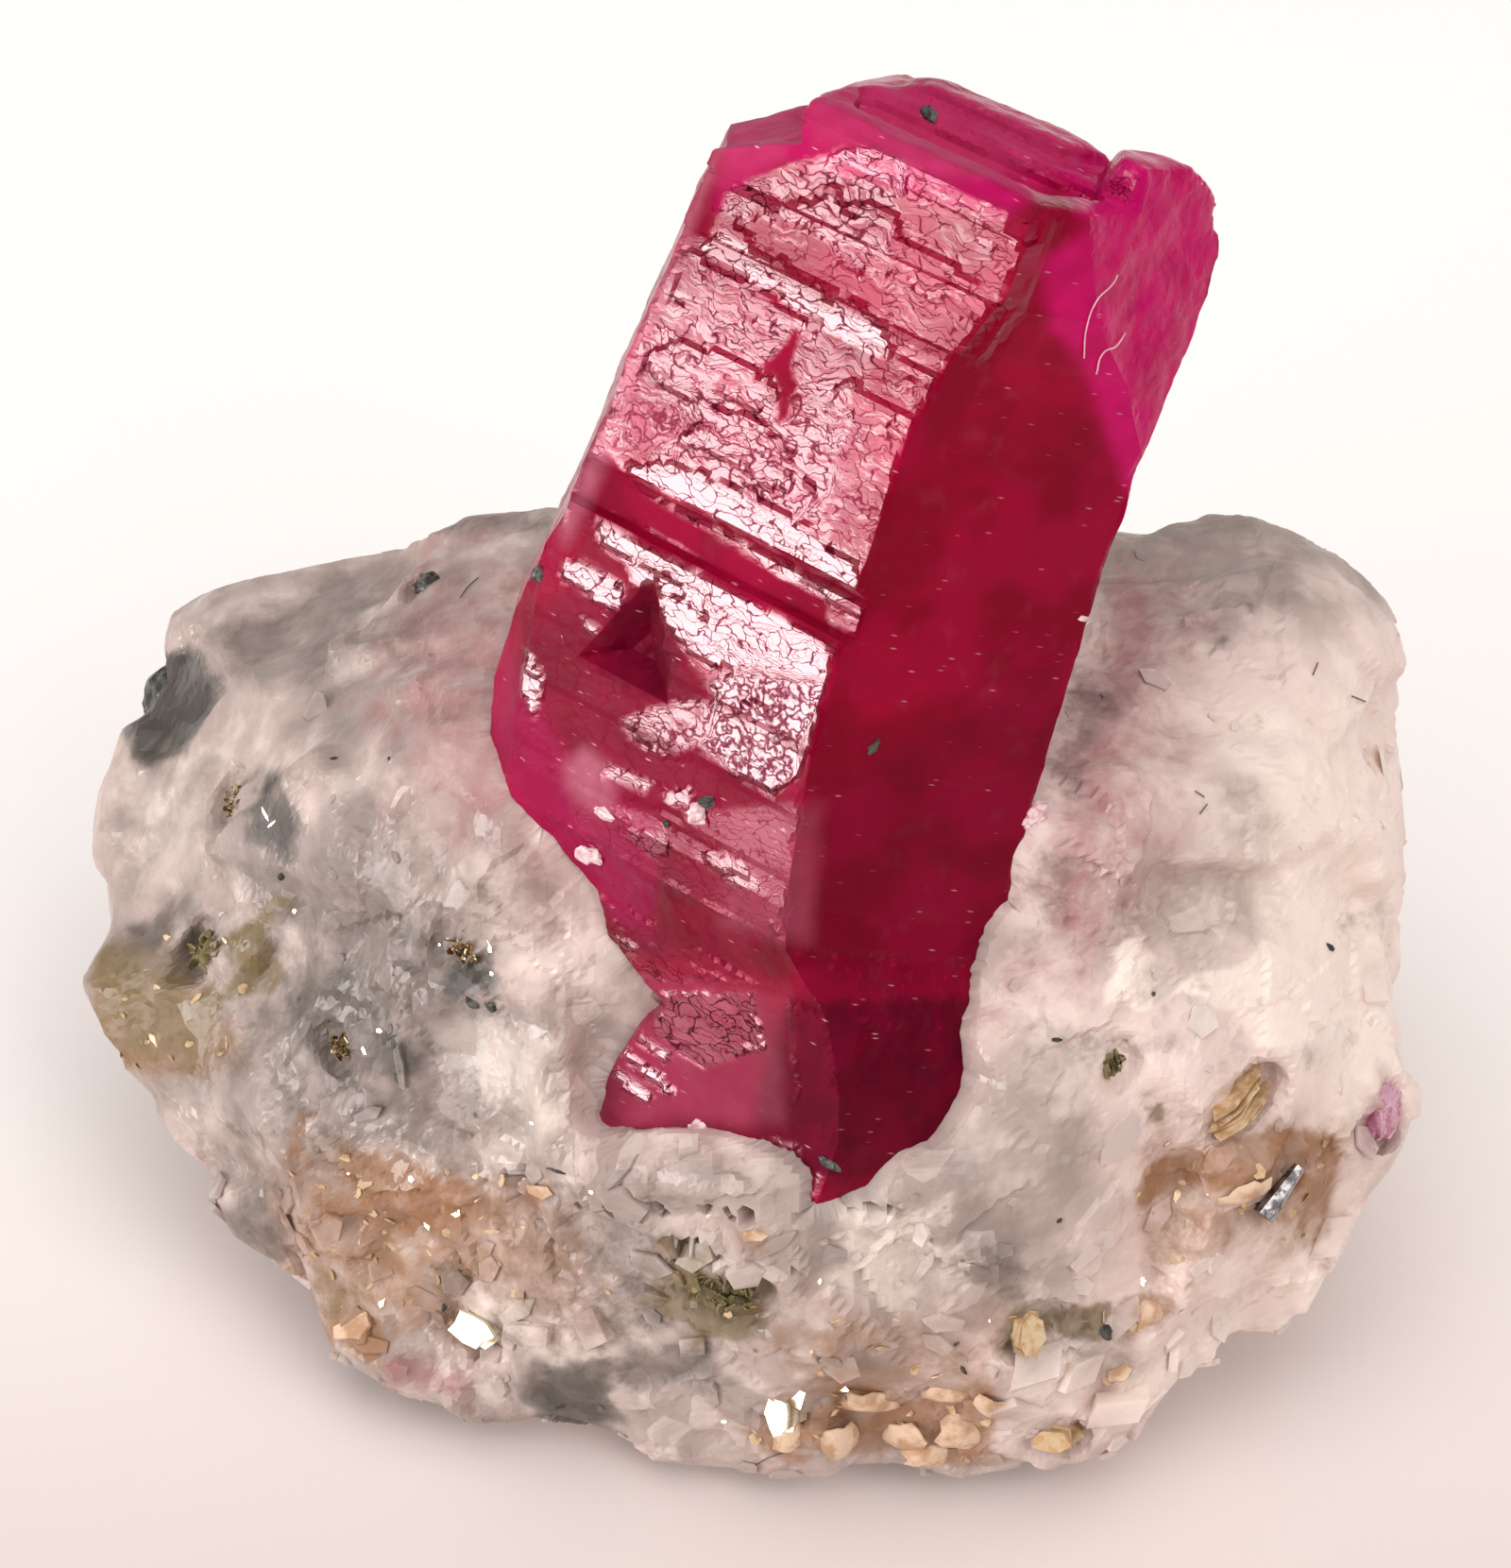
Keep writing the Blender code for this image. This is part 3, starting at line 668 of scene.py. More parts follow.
def etched_group():
    """Plates cut by cracks: which parts are whole plate, and where the cracks run."""
    tree, taken, given = new_group(
        "etched_plates",
        [("Vector", "NodeSocketVector", None), ("Shine", "NodeSocketFloat", 0.5),
         ("Curl", "NodeSocketFloat", 0.0)],
        [("Plate", "NodeSocketFloat"), ("Crack", "NodeSocketFloat")],
    )
    place = taken.outputs["Vector"]
    warp = put(tree, "ShaderNodeTexNoise", {"Vector": place, "Scale": 1.2, "Detail": 3.0})
    push = put(tree, "ShaderNodeVectorMath", {0: warp.outputs["Color"], 1: (0.5, 0.5, 0.5)}, operation="SUBTRACT")
    push = put(tree, "ShaderNodeVectorMath", {0: push.outputs[0], "Scale": 0.9}, operation="SCALE")
    bent = put(tree, "ShaderNodeVectorMath", {0: place, 1: push.outputs[0]}, operation="ADD").outputs[0]
    long = put(tree, "ShaderNodeVectorMath", {0: bent, 1: (1.0, 1.0, 3.4)}, operation="MULTIPLY").outputs[0]
    swirl = put(tree, "ShaderNodeTexNoise", {"Vector": place, "Scale": 3.0, "Detail": 2.0}).outputs["Color"]
    round = put(tree, "ShaderNodeVectorMath", {0: swirl, "Scale": 0.75}, operation="SCALE").outputs[0]
    round = put(tree, "ShaderNodeVectorMath", {0: bent, 1: round}, operation="ADD").outputs[0]
    round = put(tree, "ShaderNodeVectorMath", {0: round, 1: (1.6, 1.6, 2.6)}, operation="MULTIPLY").outputs[0]
    either = put(tree, "ShaderNodeMix", {0: taken.outputs["Curl"], 4: long, 5: round}, data_type="VECTOR")
    wide = mix_value(tree, taken.outputs["Curl"], 0.06, 0.24)
    thin = crack_lines(tree, either.outputs[1], 1.35, wide)
    finer = crack_lines(tree, long, 3.2, 0.06)
    patchy = put(tree, "ShaderNodeTexNoise", {"Vector": long, "Scale": 0.45, "Detail": 2.0}).outputs["Fac"]
    whole = math_node(tree, "MULTIPLY", thin, mix_value(tree, remap(tree, patchy, 0.45, 0.6), 1.0, finer))
    ragged = put(tree, "ShaderNodeTexNoise",
                 {"Vector": long, "Scale": 1.5, "Detail": 5.0, "Roughness": 0.72}).outputs["Fac"]
    ragged = math_node(tree, "MULTIPLY", math_node(tree, "SUBTRACT", ragged, 0.5), 2.2)
    patch = remap(tree, math_node(tree, "ADD", taken.outputs["Shine"], ragged), 0.42, 0.58)
    tree.links.new(math_node(tree, "MULTIPLY", patch, whole), given.inputs["Plate"])
    tree.links.new(math_node(tree, "SUBTRACT", 1.0, whole), given.inputs["Crack"])
    return tree


def ragged_group():
    """Give a soft stored number a broken, clouded edge."""
    tree, taken, given = new_group(
        "ragged_patch",
        [("Value", "NodeSocketFloat", 0.0), ("Cloud", "NodeSocketFloat", 0.5),
         ("Break", "NodeSocketFloat", 0.7), ("Edge", "NodeSocketFloat", 0.35)],
        [("Mask", "NodeSocketFloat")],
    )
    shifted = math_node(tree, "SUBTRACT", taken.outputs["Cloud"], 0.5)
    shifted = math_node(tree, "MULTIPLY", shifted, taken.outputs["Break"])
    broken = math_node(tree, "ADD", taken.outputs["Value"], shifted)
    edge = math_node(tree, "ADD", 0.5, taken.outputs["Edge"])
    begin = math_node(tree, "SUBTRACT", 0.5, taken.outputs["Edge"])
    tree.links.new(remap(tree, broken, begin, edge), given.inputs["Mask"])
    return tree


def flecks_group():
    """Scattered small spots, where a cell's middle is near and its number is high."""
    tree, taken, given = new_group(
        "flecks",
        [("Vector", "NodeSocketVector", None), ("Scale", "NodeSocketFloat", 2500.0),
         ("Share", "NodeSocketFloat", 0.1), ("Spot", "NodeSocketFloat", 0.25)],
        [("Mask", "NodeSocketFloat")],
    )
    cells = put(tree, "ShaderNodeTexVoronoi",
                {"Vector": taken.outputs["Vector"], "Scale": taken.outputs["Scale"]})
    lot = put(tree, "ShaderNodeSeparateColor", {0: cells.outputs["Color"]}).outputs[0]
    chosen = math_node(tree, "LESS_THAN", lot, taken.outputs["Share"])
    near = remap(tree, cells.outputs["Distance"], taken.outputs["Spot"], 0.0)
    tree.links.new(math_node(tree, "MULTIPLY", chosen, near), given.inputs["Mask"])
    return tree


ETCHED = etched_group()
RAGGED = ragged_group()
FLECKS = flecks_group()
print("shader groups:", [g.name for g in (ETCHED, RAGGED, FLECKS)])

# %% [markdown]
# ## The ruby's finish
#
# Ruby is aluminium oxide with a little chromium: a dense clear crystal that bends
# light strongly and soaks up green and blue. The clear part is plain transmission with
# ruby's own index of refraction and an absorbing volume. Tiny flaws cloud it, so part
# of the light is scattered by a deep red body colour instead. Where plates gleam, a
# coat takes up the mirror image of the left box, and the cracks cut through it.

# %% Ruby material
RUBY_INDEX = 1.77
RUBY_CLEAR = 0.38
RUBY_COLOURS = {
    "deep": (0.27, 0.0008, 0.022, 1.0),
    "bright": (0.40, 0.002, 0.042, 1.0),
    # painted shade
    "shaded": (0.085, 0.0008, 0.011, 1.0),
    "magenta": (0.80, 0.008, 0.20, 1.0),
    "milky": (0.62, 0.19, 0.28, 1.0),
    "cracks": (0.05, 0.0, 0.006, 1.0),
    "dust": (0.85, 0.38, 0.46, 1.0),
}
RUBY_GLANCE = (0.40, 0.025, 0.085, 1.0)
RUBY_ABSORBS = (0.95, 0.04, 0.25, 1.0)
RUBY_DENSITY = 170.0
COAT_INDEX = 1.9
STREAKS = (0.85, 0.85, 4.2)  # the crystal's millimetres, squeezed so that flecks become dashes
SHEEN = 0.27               # the share of gleam between the plates


def ruby_colour(tree, crystal):
    cloud = own_value(tree, "cloud")
    body = mix_colour(tree, remap(tree, cloud, 0.35, 0.65), RUBY_COLOURS["deep"], RUBY_COLOURS["bright"])
    haze = put(tree, "ShaderNodeTexNoise", {"Vector": crystal, "Scale": 1.2, "Detail": 3.0}).outputs["Fac"]
    thin_haze = remap(tree, haze, 0.55, 0.8, 0.0, 0.08)
    body = mix_colour(tree, thin_haze, body, RUBY_COLOURS["milky"])
    cloudy = remap(tree, haze, 0.3, 0.7, 0.7, 1.0)
    # the shaded tint is painted shade
    for name in ("shaded", "magenta", "milky"):
        share = math_node(tree, "MULTIPLY", own_value(tree, name), cloudy)
        body = mix_colour(tree, share, body, RUBY_COLOURS[name])
    return body


def ruby_material():
    made, tree, shader, output = new_material("ruby")
    crystal = put(tree, "ShaderNodeAttribute", attribute_name="crystal").outputs["Vector"]
    left = own_value(tree, "left_face")
    shine = own_value(tree, "shine")
    etched = use_group(tree, ETCHED, {"Vector": crystal, "Shine": shine, "Curl": own_value(tree, "curl")})
    cracks = math_node(tree, "MULTIPLY", left, etched.outputs["Crack"])
    cracks = math_node(tree, "MULTIPLY", cracks, remap(tree, shine, 0.05, 0.5))
    body = mix_colour(tree, cracks, ruby_colour(tree, crystal), RUBY_COLOURS["cracks"])
    squeezed = put(tree, "ShaderNodeVectorMath", {0: crystal, 1: STREAKS}, operation="MULTIPLY").outputs[0]
    dash = use_group(tree, FLECKS, {"Vector": squeezed, "Scale": 1.7, "Share": 0.27, "Spot": 0.20})
    dashes = math_node(tree, "MULTIPLY", dash.outputs[0], remap(tree, own_value(tree, "cloud"), 0.4, 0.6, 0.2, 1.0))
    body = mix_colour(tree, dashes, body, RUBY_COLOURS["dust"])
    tree.links.new(body, shader.inputs["Base Color"])
    sheen = math_node(tree, "MULTIPLY", remap(tree, shine, 0.04, 0.45), SHEEN)
    sheen = math_node(tree, "MULTIPLY", sheen, math_node(tree, "SUBTRACT", 1.0, etched.outputs["Crack"]))
    gleam = mix_value(tree, etched.outputs["Plate"], sheen, remap(tree, shine, 0.35, 0.95, 0.62, 1.0))
    gleam = math_node(tree, "MULTIPLY", gleam, left)
    gleam = math_node(tree, "MAXIMUM", gleam, math_node(tree, "MULTIPLY", dashes, 0.4))
    tree.links.new(gleam, shader.inputs["Coat Weight"])
    shader.inputs["Coat IOR"].default_value = COAT_INDEX
    shader.inputs["Coat Roughness"].default_value = 0.14
    tree.links.new(remap(tree, shine, 0.02, 0.34, 0.62, 0.24), shader.inputs["Roughness"])
    fine = put(tree, "ShaderNodeTexNoise", {"Vector": crystal, "Scale": 4.0, "Detail": 1.0}).outputs["Fac"]
    bump = put(tree, "ShaderNodeBump", {"Height": fine, "Strength": 0.25, "Distance": 0.012 * MM})
    tree.links.new(bump.outputs[0], shader.inputs["Normal"])
    shader.inputs["IOR"].default_value = RUBY_INDEX
    shader.inputs["Specular Tint"].default_value = RUBY_GLANCE
    shader.inputs["Transmission Weight"].default_value = RUBY_CLEAR
    absorb = put(tree, "ShaderNodeVolumeAbsorption", {"Color": RUBY_ABSORBS, "Density": RUBY_DENSITY})
    tree.links.new(absorb.outputs[0], output.inputs["Volume"])
    return made


finish_with(ruby, ruby_material())
print("ruby: index", RUBY_INDEX, "clear share", RUBY_CLEAR)


# %% [markdown]
# ## The marble's shape
#
# The lump is calcite that broke along its cleavage, so its skin is thousands of small
# flat faces, each tilted its own way. The frame's lump is copied, its pits are plugged,
# and its pocket is drawn up to the crystal, since the two grew together. A voxel Remesh
# gives it even points two tenths of a millimetre apart. Then each point is pushed by
# the height of the flat grain face that owns it, most at the front, where it broke.

# %% Fine marble
MARBLE_VOXEL = 0.2 * MM
HEART = Vector((0.0, 0.0, 8.5)) * MM
SMALL_NODES = sorted(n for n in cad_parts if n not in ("marble_matrix", "ruby_crystal"))
PLUG_GROW = 0.55 * MM
PLUG_SINK = 0.82 * MM
DEEP_SINK = 1.0 * MM       # under the grains that stand up from the stone
STANDING = ("dark_corner_grain", "silver_metal_crystal", "mica_stack_right", "side_ruby_crystal")
POCKET_REACH = 0.62 * MM
SNAP_REACH = 0.32 * MM
GRIP_BITE = 0.05 * MM
FINE_FACETS = ((4.2 * MM, 0.05), (2.3 * MM, 0.07), (0.9 * MM, 0.045))
SUGAR = (0.3 * MM, 0.02 * MM)
FRESH_BREAK = 5.0 * MM     # how far the rough broken front reaches round
OUTLINE_SHIFTS = [         # x, y and reach in the picture, then mm towards the right
    (250, 640, 125, -0.8), (128, 1075, 105, -1.1), (205, 1300, 140, 1.1), (255, 1405, 110, 0.9),
    (1460, 1320, 120, -0.5),
]
RIM = ((590, 1205), (800, 1205), (830, 1262), (590, 1262))
RIM_ROUNDS = 14


def middle_of(node):
    low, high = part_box(node)
    return (low + high) / 2


def outward_at(point):
    return (point - HEART).normalized()


def add_plug(bm, node):
    """Fill a grain's pit from below, just under the skin."""
    middle = middle_of(node)
    sink = outward_at(middle) * (DEEP_SINK if node in STANDING else PLUG_SINK)
    plug = merged(node)
    for vertex in plug.verts:
        arm = vertex.co - middle
        vertex.co = middle + arm * (1.0 + PLUG_GROW / arm.length) - sink
    mesh = bpy.data.meshes.new("plug")
    plug.to_mesh(mesh)
    plug.free()
    bm.from_mesh(mesh)
    bpy.data.meshes.remove(mesh)


def close_pocket(bm):
    """Draw the pocket's wall up to the crystal, so that no gap shows between them."""
    for vertex in bm.verts:
        place, normal, _, _ = ruby_tree.find_nearest(vertex.co, POCKET_REACH)
        if place is not None:
            vertex.co = place - normal * GRIP_BITE


def fine_marble():
    bm = merged("marble_matrix")
    close_pocket(bm)
    for node in SMALL_NODES:
        add_plug(bm, node)
    piece = from_bmesh("marble", bm)
    remesh = piece.modifiers.new("fine", "REMESH")
    remesh.mode = "VOXEL"
    remesh.voxel_size = MARBLE_VOXEL
    return settle(piece)


def gaps_to(tree, points, reach):
    """Signed distance to a surface, with the nearest place and its normal."""
    gap = np.full(len(points), reach)
    foot = points.copy()
    out = np.zeros_like(points)
    for i, p in enumerate(points):
        place, normal, _, _ = tree.find_nearest(Vector(p), reach)
        if place is not None:
            foot[i] = place
            out[i] = normal
            gap[i] = (Vector(p) - place).dot(normal)
    return gap, foot, out


def grip_ruby(piece):
    """Settle the last points by the crystal onto it, and note how far off each lies."""
    points = points_of(piece.data)
    gap, foot, out = gaps_to(ruby_tree, points, 2.0 * MM)
    close = gap < SNAP_REACH
    points[close] = foot[close] - out[close] * GRIP_BITE
    keep_value(piece.data, "ruby_gap", gap)
    set_points(piece.data, points)


def shape_outline(piece):
    """Draw the lump's side out or in where its broken outline bulges or falls back."""
    points = points_of(piece.data)
    at = in_picture(points)
    for x, y, reach, shift in OUTLINE_SHIFTS:
        far = np.hypot(at[:, 0] - x, at[:, 1] - y)
        points[:, 0] += shift * MM * smooth_step(reach, 0.3 * reach, far)
    set_points(piece.data, points)


def soften_rim(piece):
    """Smooth the crease under the lip of stone at the crystal's foot."""
    bm = bmesh.new()
    bm.from_mesh(piece.data)
    at = in_picture(points_of(piece.data))
    share = area_rows(at, RIM, 10.0) * (points_of(piece.data)[:, 1] < 0.0)
    crease = [v for v, s in zip(bm.verts, share) if s > 0.5]
    for _ in range(RIM_ROUNDS):
        bmesh.ops.smooth_vert(bm, verts=crease, factor=0.5, use_axis_x=True, use_axis_y=True, use_axis_z=True)
    bm.to_mesh(piece.data)
    bm.free()


def break_skin(piece):
    points = points_of(piece.data)
    normals = normals_of(piece.data)
    height = np.zeros(len(points))
    for number, (size, share) in enumerate(FINE_FACETS):
        height += share * facet_rows(points, size, shift=7.3 * number)
    fresh = smooth_step(FRESH_BREAK, -FRESH_BREAK, points[:, 1] - 0.35 * points[:, 0])
    keep_value(piece.data, "fresh", fresh)
    height *= 0.25 + 0.80 * fresh
    height += SUGAR[1] * noise_rows(points, SUGAR[0], 1.0, 2)
    gap = read_value(piece.data, "ruby_gap")
    height *= smooth_step(0.3 * MM, 1.0 * MM, gap) * smooth_step(0.0, 1.2 * MM, points[:, 2])
    set_points(piece.data, points + normals * height[:, None])


marble = fine_marble()
shape_outline(marble)
soften_rim(marble)
grip_ruby(marble)
break_skin(marble)
marble_tree = tree_of(marble)
print("marble mesh:", len(marble.data.vertices), "points")

# %% [markdown]
# ## Where the stone is stained
#
# Marble is white only where it is pure. Iron turns it orange and tan, chlorite and
# pargasite olive, graphite and fine sulphide grey, and some spots are pink. Beside the
# crystal, the pink and some of the grey are painted shade and painted pink glow from the
# crystal, and on the right side some of the white is painted light.
# Each stain that shows is an outline in the picture, and those on the other sides are
# balls round a place on the skin. The mesh keeps how strongly each point is stained,
# and the material breaks up the edges.

# %% Stain maps
STAINS = {
    # strength, softness of the edge in picture points, corners in the picture
    "grey": [
        (0.60, 60, ((230, 900), (400, 860), (560, 960), (560, 1220), (300, 1240), (210, 1160))),
        (0.42, 40, ((560, 1250), (760, 1290), (800, 1480), (520, 1500), (480, 1380))),
        (0.45, 30, ((213, 640), (300, 612), (430, 610), (470, 650), (440, 700), (330, 725), (240, 700))),
        (0.60, 10, ((470, 540), (520, 532), (590, 545), (600, 572), (520, 562), (470, 568))),
        (1.50, 12, ((120, 705), (170, 690), (212, 705), (222, 750), (200, 795), (165, 806), (130, 770))),
        (0.45, 12, ((140, 790), (185, 800), (180, 830), (150, 840))),
        (1.25, 8, ((262, 835), (285, 812), (306, 838), (308, 882), (296, 905), (266, 890))),
        (0.85, 10, ((135, 960), (203, 948), (208, 990), (160, 1006), (138, 990))),
        (0.45, 10, ((208, 965), (255, 950), (250, 1000), (222, 1042))),
        (1.10, 22, ((285, 1035), (346, 1028), (352, 1090), (318, 1105), (283, 1088))),
        (1.15, 14, ((370, 1108), (430, 1100), (470, 1084), (486, 1112), (452, 1150), (400, 1156), (364, 1142))),
        (1.30, 9, ((462, 1014), (500, 1000), (530, 1012), (532, 1060), (500, 1072), (466, 1052))),
        (0.65, 18, ((366, 1175), (420, 1165), (485, 1172), (484, 1222), (376, 1228))),
        (0.70, 14, ((252, 1262), (310, 1255), (304, 1327), (258, 1360), (243, 1314))),
        (0.45, 20, ((205, 1150), (330, 1150), (350, 1230), (250, 1250))),
        (0.85, 26, ((270, 1010), (380, 1000), (450, 1060), (430, 1150), (330, 1170), (270, 1110))),
        (0.55, 10, ((437, 1354), (478, 1345), (490, 1390), (455, 1396))),
        (1.25, 14, ((551, 1440), (640, 1445), (655, 1500), (600, 1520), (555, 1492))),
        (0.60, 15, ((622, 1310), (700, 1300), (712, 1385), (676, 1420), (640, 1412), (616, 1359))),
        (0.75, 12, ((640, 1410), (752, 1405), (765, 1455), (700, 1475), (640, 1470))),
        (0.50, 10, ((560, 1250), (620, 1245), (640, 1290), (600, 1300))),
        (0.40, 14, ((640, 1230), (760, 1235), (740, 1300), (650, 1290))),
        (0.45, 6, ((1027, 1300), (1058, 1300), (1090, 1348), (1100, 1379), (1057, 1390), (1030, 1369))),
        (0.22, 6, ((1186, 545), (1333, 545), (1382, 574), (1398, 602), (1341, 588), (1218, 581), (1178, 566))),
        (0.20, 30, ((1190, 585), (1317, 590), (1345, 645), (1277, 698), (1190, 706), (1170, 639))),
        (0.85, 5, ((1329, 629), (1343, 631), (1339, 653), (1326, 651))),
        (0.85, 4, ((1304, 657), (1318, 658), (1316, 671), (1304, 670))),
        # painted shadow of the crystal on the stone at its right, on this line and the next
        (0.50, 16, ((1139, 714), (1198, 708), (1208, 746), (1172, 787), (1139, 840), (1108, 842))),
        (0.45, 10, ((1078, 905), (1145, 905), (1121, 951), (1068, 988))),
        (0.25, 14, ((1412, 915), (1490, 920), (1480, 1005), (1418, 1012))),
        (0.35, 14, ((1070, 1075), (1180, 1070), (1290, 1105), (1390, 1090), (1430, 1120), (1100, 1125))),
    ],
    "orange": [
        (0.66, 34, ((290, 1225), (560, 1225), (650, 1330), (630, 1410), (340, 1410), (280, 1320))),
        (0.50, 30, ((820, 1400), (1060, 1380), (1080, 1560), (800, 1540))),
        (0.62, 30, ((1210, 1210), (1430, 1180), (1400, 1330), (1220, 1370))),
        (0.72, 14, ((92, 1040), (150, 1012), (215, 1025), (240, 1060), (235, 1125), (150, 1145), (100, 1120))),
        (0.95, 12, ((364, 1234), (400, 1226), (470, 1228), (536, 1245), (545, 1272), (508, 1316), (462, 1330),
                    (399, 1318), (370, 1290))),
        (0.60, 18, ((484, 1314), (600, 1305), (622, 1330), (618, 1370), (573, 1394), (497, 1392), (480, 1359))),
        (0.90, 5, ((545, 1245), (592, 1250), (592, 1276), (564, 1278))),
        (0.80, 10, ((326, 1388), (408, 1386), (416, 1440), (372, 1450), (335, 1426))),
        (0.85, 6, ((314, 1190), (340, 1186), (330, 1240), (310, 1236))),
        (0.75, 7, ((232, 1276), (248, 1276), (249, 1330), (233, 1328))),
        (0.45, 14, ((300, 1342), (392, 1335), (400, 1382), (326, 1392))),
        (0.45, 16, ((866, 1372), (930, 1385), (1008, 1384), (1018, 1446), (955, 1468), (877, 1456))),
        (0.80, 9, ((862, 1464), (960, 1470), (1060, 1464), (1068, 1510), (1030, 1556), (945, 1550), (850, 1560),
                   (800, 1510))),
        (0.45, 14, ((560, 1380), (640, 1370), (650, 1420), (560, 1425))),
        (1.15, 14, ((1208, 1268), (1236, 1230), (1287, 1222), (1328, 1208), (1418, 1196), (1408, 1243),
                    (1380, 1284), (1328, 1284), (1261, 1284), (1218, 1294))),
        (0.45, 12, ((1218, 1302), (1261, 1335), (1320, 1296), (1316, 1345), (1261, 1376), (1212, 1335))),
        (0.65, 6, ((1188, 1362), (1248, 1372), (1238, 1406), (1193, 1400))),
        (0.55, 8, ((1164, 1438), (1208, 1442), (1204, 1470), (1166, 1466))),
        (0.40, 10, ((780, 1290), (825, 1295), (822, 1325), (785, 1325))),
        (0.35, 8, ((1268, 1130), (1345, 1120), (1352, 1200), (1290, 1220))),
    ],
    "olive": [
        (0.78, 22, ((80, 990), (200, 1000), (238, 1060), (225, 1130), (100, 1130))),
        (0.70, 10, ((92, 1002), (118, 980), (175, 990), (200, 1012), (150, 1035), (96, 1040))),
        (1.00, 8, ((226, 1036), (250, 985), (300, 962), (304, 1000), (268, 1044), (232, 1056))),
        (0.55, 8, ((120, 1118), (158, 1122), (150, 1145), (130, 1142))),
        (0.45, 14, ((300, 1342), (392, 1335), (404, 1388), (326, 1398))),
        (1.00, 8, ((708, 1336), (766, 1341), (819, 1366), (819, 1388), (756, 1406), (738, 1412), (706, 1384))),
        (0.85, 5, ((1106, 1374), (1139, 1357), (1176, 1368), (1170, 1412), (1116, 1412))),
        (0.70, 6, ((1062, 1398), (1106, 1384), (1112, 1432), (1068, 1440))),
        (0.25, 14, ((802, 1400), (860, 1405), (868, 1462), (810, 1450))),
        (0.80, 4, ((1205, 1182), (1222, 1182), (1222, 1196), (1206, 1195))),
    ],
    "pink": [
        # painted pink glow from the crystal on the stone at its left
        (0.70, 50, ((430, 620), (600, 600), (570, 800), (640, 950), (560, 960), (450, 860), (400, 740))),
        # painted shade of the crystal, tinted pink, on the stone at its right (this and the next two)
        (1.00, 26, ((1178, 600), (1225, 640), (1222, 760), (1190, 850), (1150, 960), (1080, 990), (1150, 700))),
        (0.75, 60, ((1190, 700), (1250, 740), (1250, 900), (1180, 1010), (1060, 1080), (1100, 960))),
        (0.50, 40, ((1180, 580), (1330, 640), (1260, 760), (1180, 800))),
        (0.90, 8, ((1440, 1150), (1476, 1140), (1478, 1195), (1444, 1205))),
        (0.70, 10, ((413, 1436), (497, 1432), (500, 1476), (417, 1478))),
        (0.45, 16, ((620, 1210), (700, 1220), (690, 1260), (625, 1250))),
        # painted pink shade beside the crystal's right foot
        (0.50, 20, ((1050, 980), (1130, 980), (1100, 1060), (1050, 1060))),
    ],
    "white": [
        (0.40, 30, ((114, 800), (180, 782), (232, 790), (240, 900), (200, 940), (120, 930))),
        (0.60, 14, ((465, 1068), (520, 1075), (565, 1120), (590, 1190), (540, 1200), (480, 1150))),
        (0.60, 4, ((418, 1102), (438, 1104), (432, 1162), (420, 1160))),
        (0.60, 5, ((366, 1188), (416, 1160), (420, 1172), (380, 1196))),
        (0.60, 8, ((395, 1330), (450, 1310), (470, 1340), (430, 1372), (396, 1368))),
        (0.90, 12, ((480, 1392), (560, 1400), (640, 1420), (652, 1440), (560, 1440), (490, 1420))),
        (0.55, 14, ((863, 1280), (1006, 1270), (1034, 1308), (1022, 1369), (955, 1390), (879, 1359))),
        # painted highlight: this spot and the next are flat facets painted white where they catch the light
        (1.00, 4, ((1176, 1052), (1198, 995), (1218, 987), (1225, 1052), (1198, 1063))),
        (0.95, 4, ((1238, 1050), (1261, 1030), (1333, 1007), (1396, 1026), (1392, 1096), (1317, 1101),
                   (1293, 1083), (1277, 1058))),
        (1.00, 9, ((1364, 898), (1400, 896), (1409, 975), (1388, 1004), (1364, 987))),
        (0.65, 25, ((1340, 740), (1404, 761), (1484, 790), (1486, 850), (1416, 841), (1330, 820))),
        (0.95, 4, ((1486, 980), (1515, 980), (1505, 1052), (1480, 1076), (1436, 1092), (1431, 1135),
                   (1480, 1135), (1480, 1088))),
        (1.00, 4, ((1241, 1297), (1287, 1276), (1289, 1290), (1252, 1309), (1248, 1324), (1240, 1324))),
        (1.00, 12, ((1363, 1280), (1426, 1290), (1428, 1360), (1400, 1410), (1312, 1450), (1200, 1490),
                    (1140, 1480), (1210, 1440), (1310, 1410), (1368, 1380))),
        (0.60, 12, ((1070, 1440), (1150, 1430), (1160, 1490), (1080, 1500))),
        # painted light on the stone's right side, on this line and the next
        (0.80, 60, ((1290, 760), (1460, 760), (1500, 900), (1470, 1150), (1390, 1180), (1330, 980))),
        (0.60, 40, ((1330, 1230), (1460, 1240), (1430, 1390), (1300, 1460), (1180, 1480), (1290, 1380))),
    ],
}
# The sides that don't show get their own: bearing from the back, rise, radius, strength.
HIDDEN_STAINS = {
    "grey": [(-30, 10, 3.0, 0.7), (20, -25, 3.5, 0.6), (75, 5, 2.4, 0.5), (-70, -20, 2.6, 0.6)],
    "orange": [(0, -30, 3.4, 0.8), (45, -20, 2.8, 0.7), (-45, -28, 3.0, 0.7), (100, -25, 2.4, 0.7)],
    "olive": [(-15, -15, 1.8, 0.8), (60, -10, 1.5, 0.7)],
    "pink": [(10, 35, 3.2, 0.6), (-40, 30, 2.4, 0.5)],
    "white": [(30, 15, 3.0, 0.7), (-10, 0, 2.6, 0.6), (85, 25, 2.2, 0.6)],
}
FAR = 0.06
STAIN_WAVER = 18.0         # how far their edges wander, in picture points
STAIN_DRIFT = 26.0         # how far their whole outline is pulled about
STAIN_SOFTER = 1.7
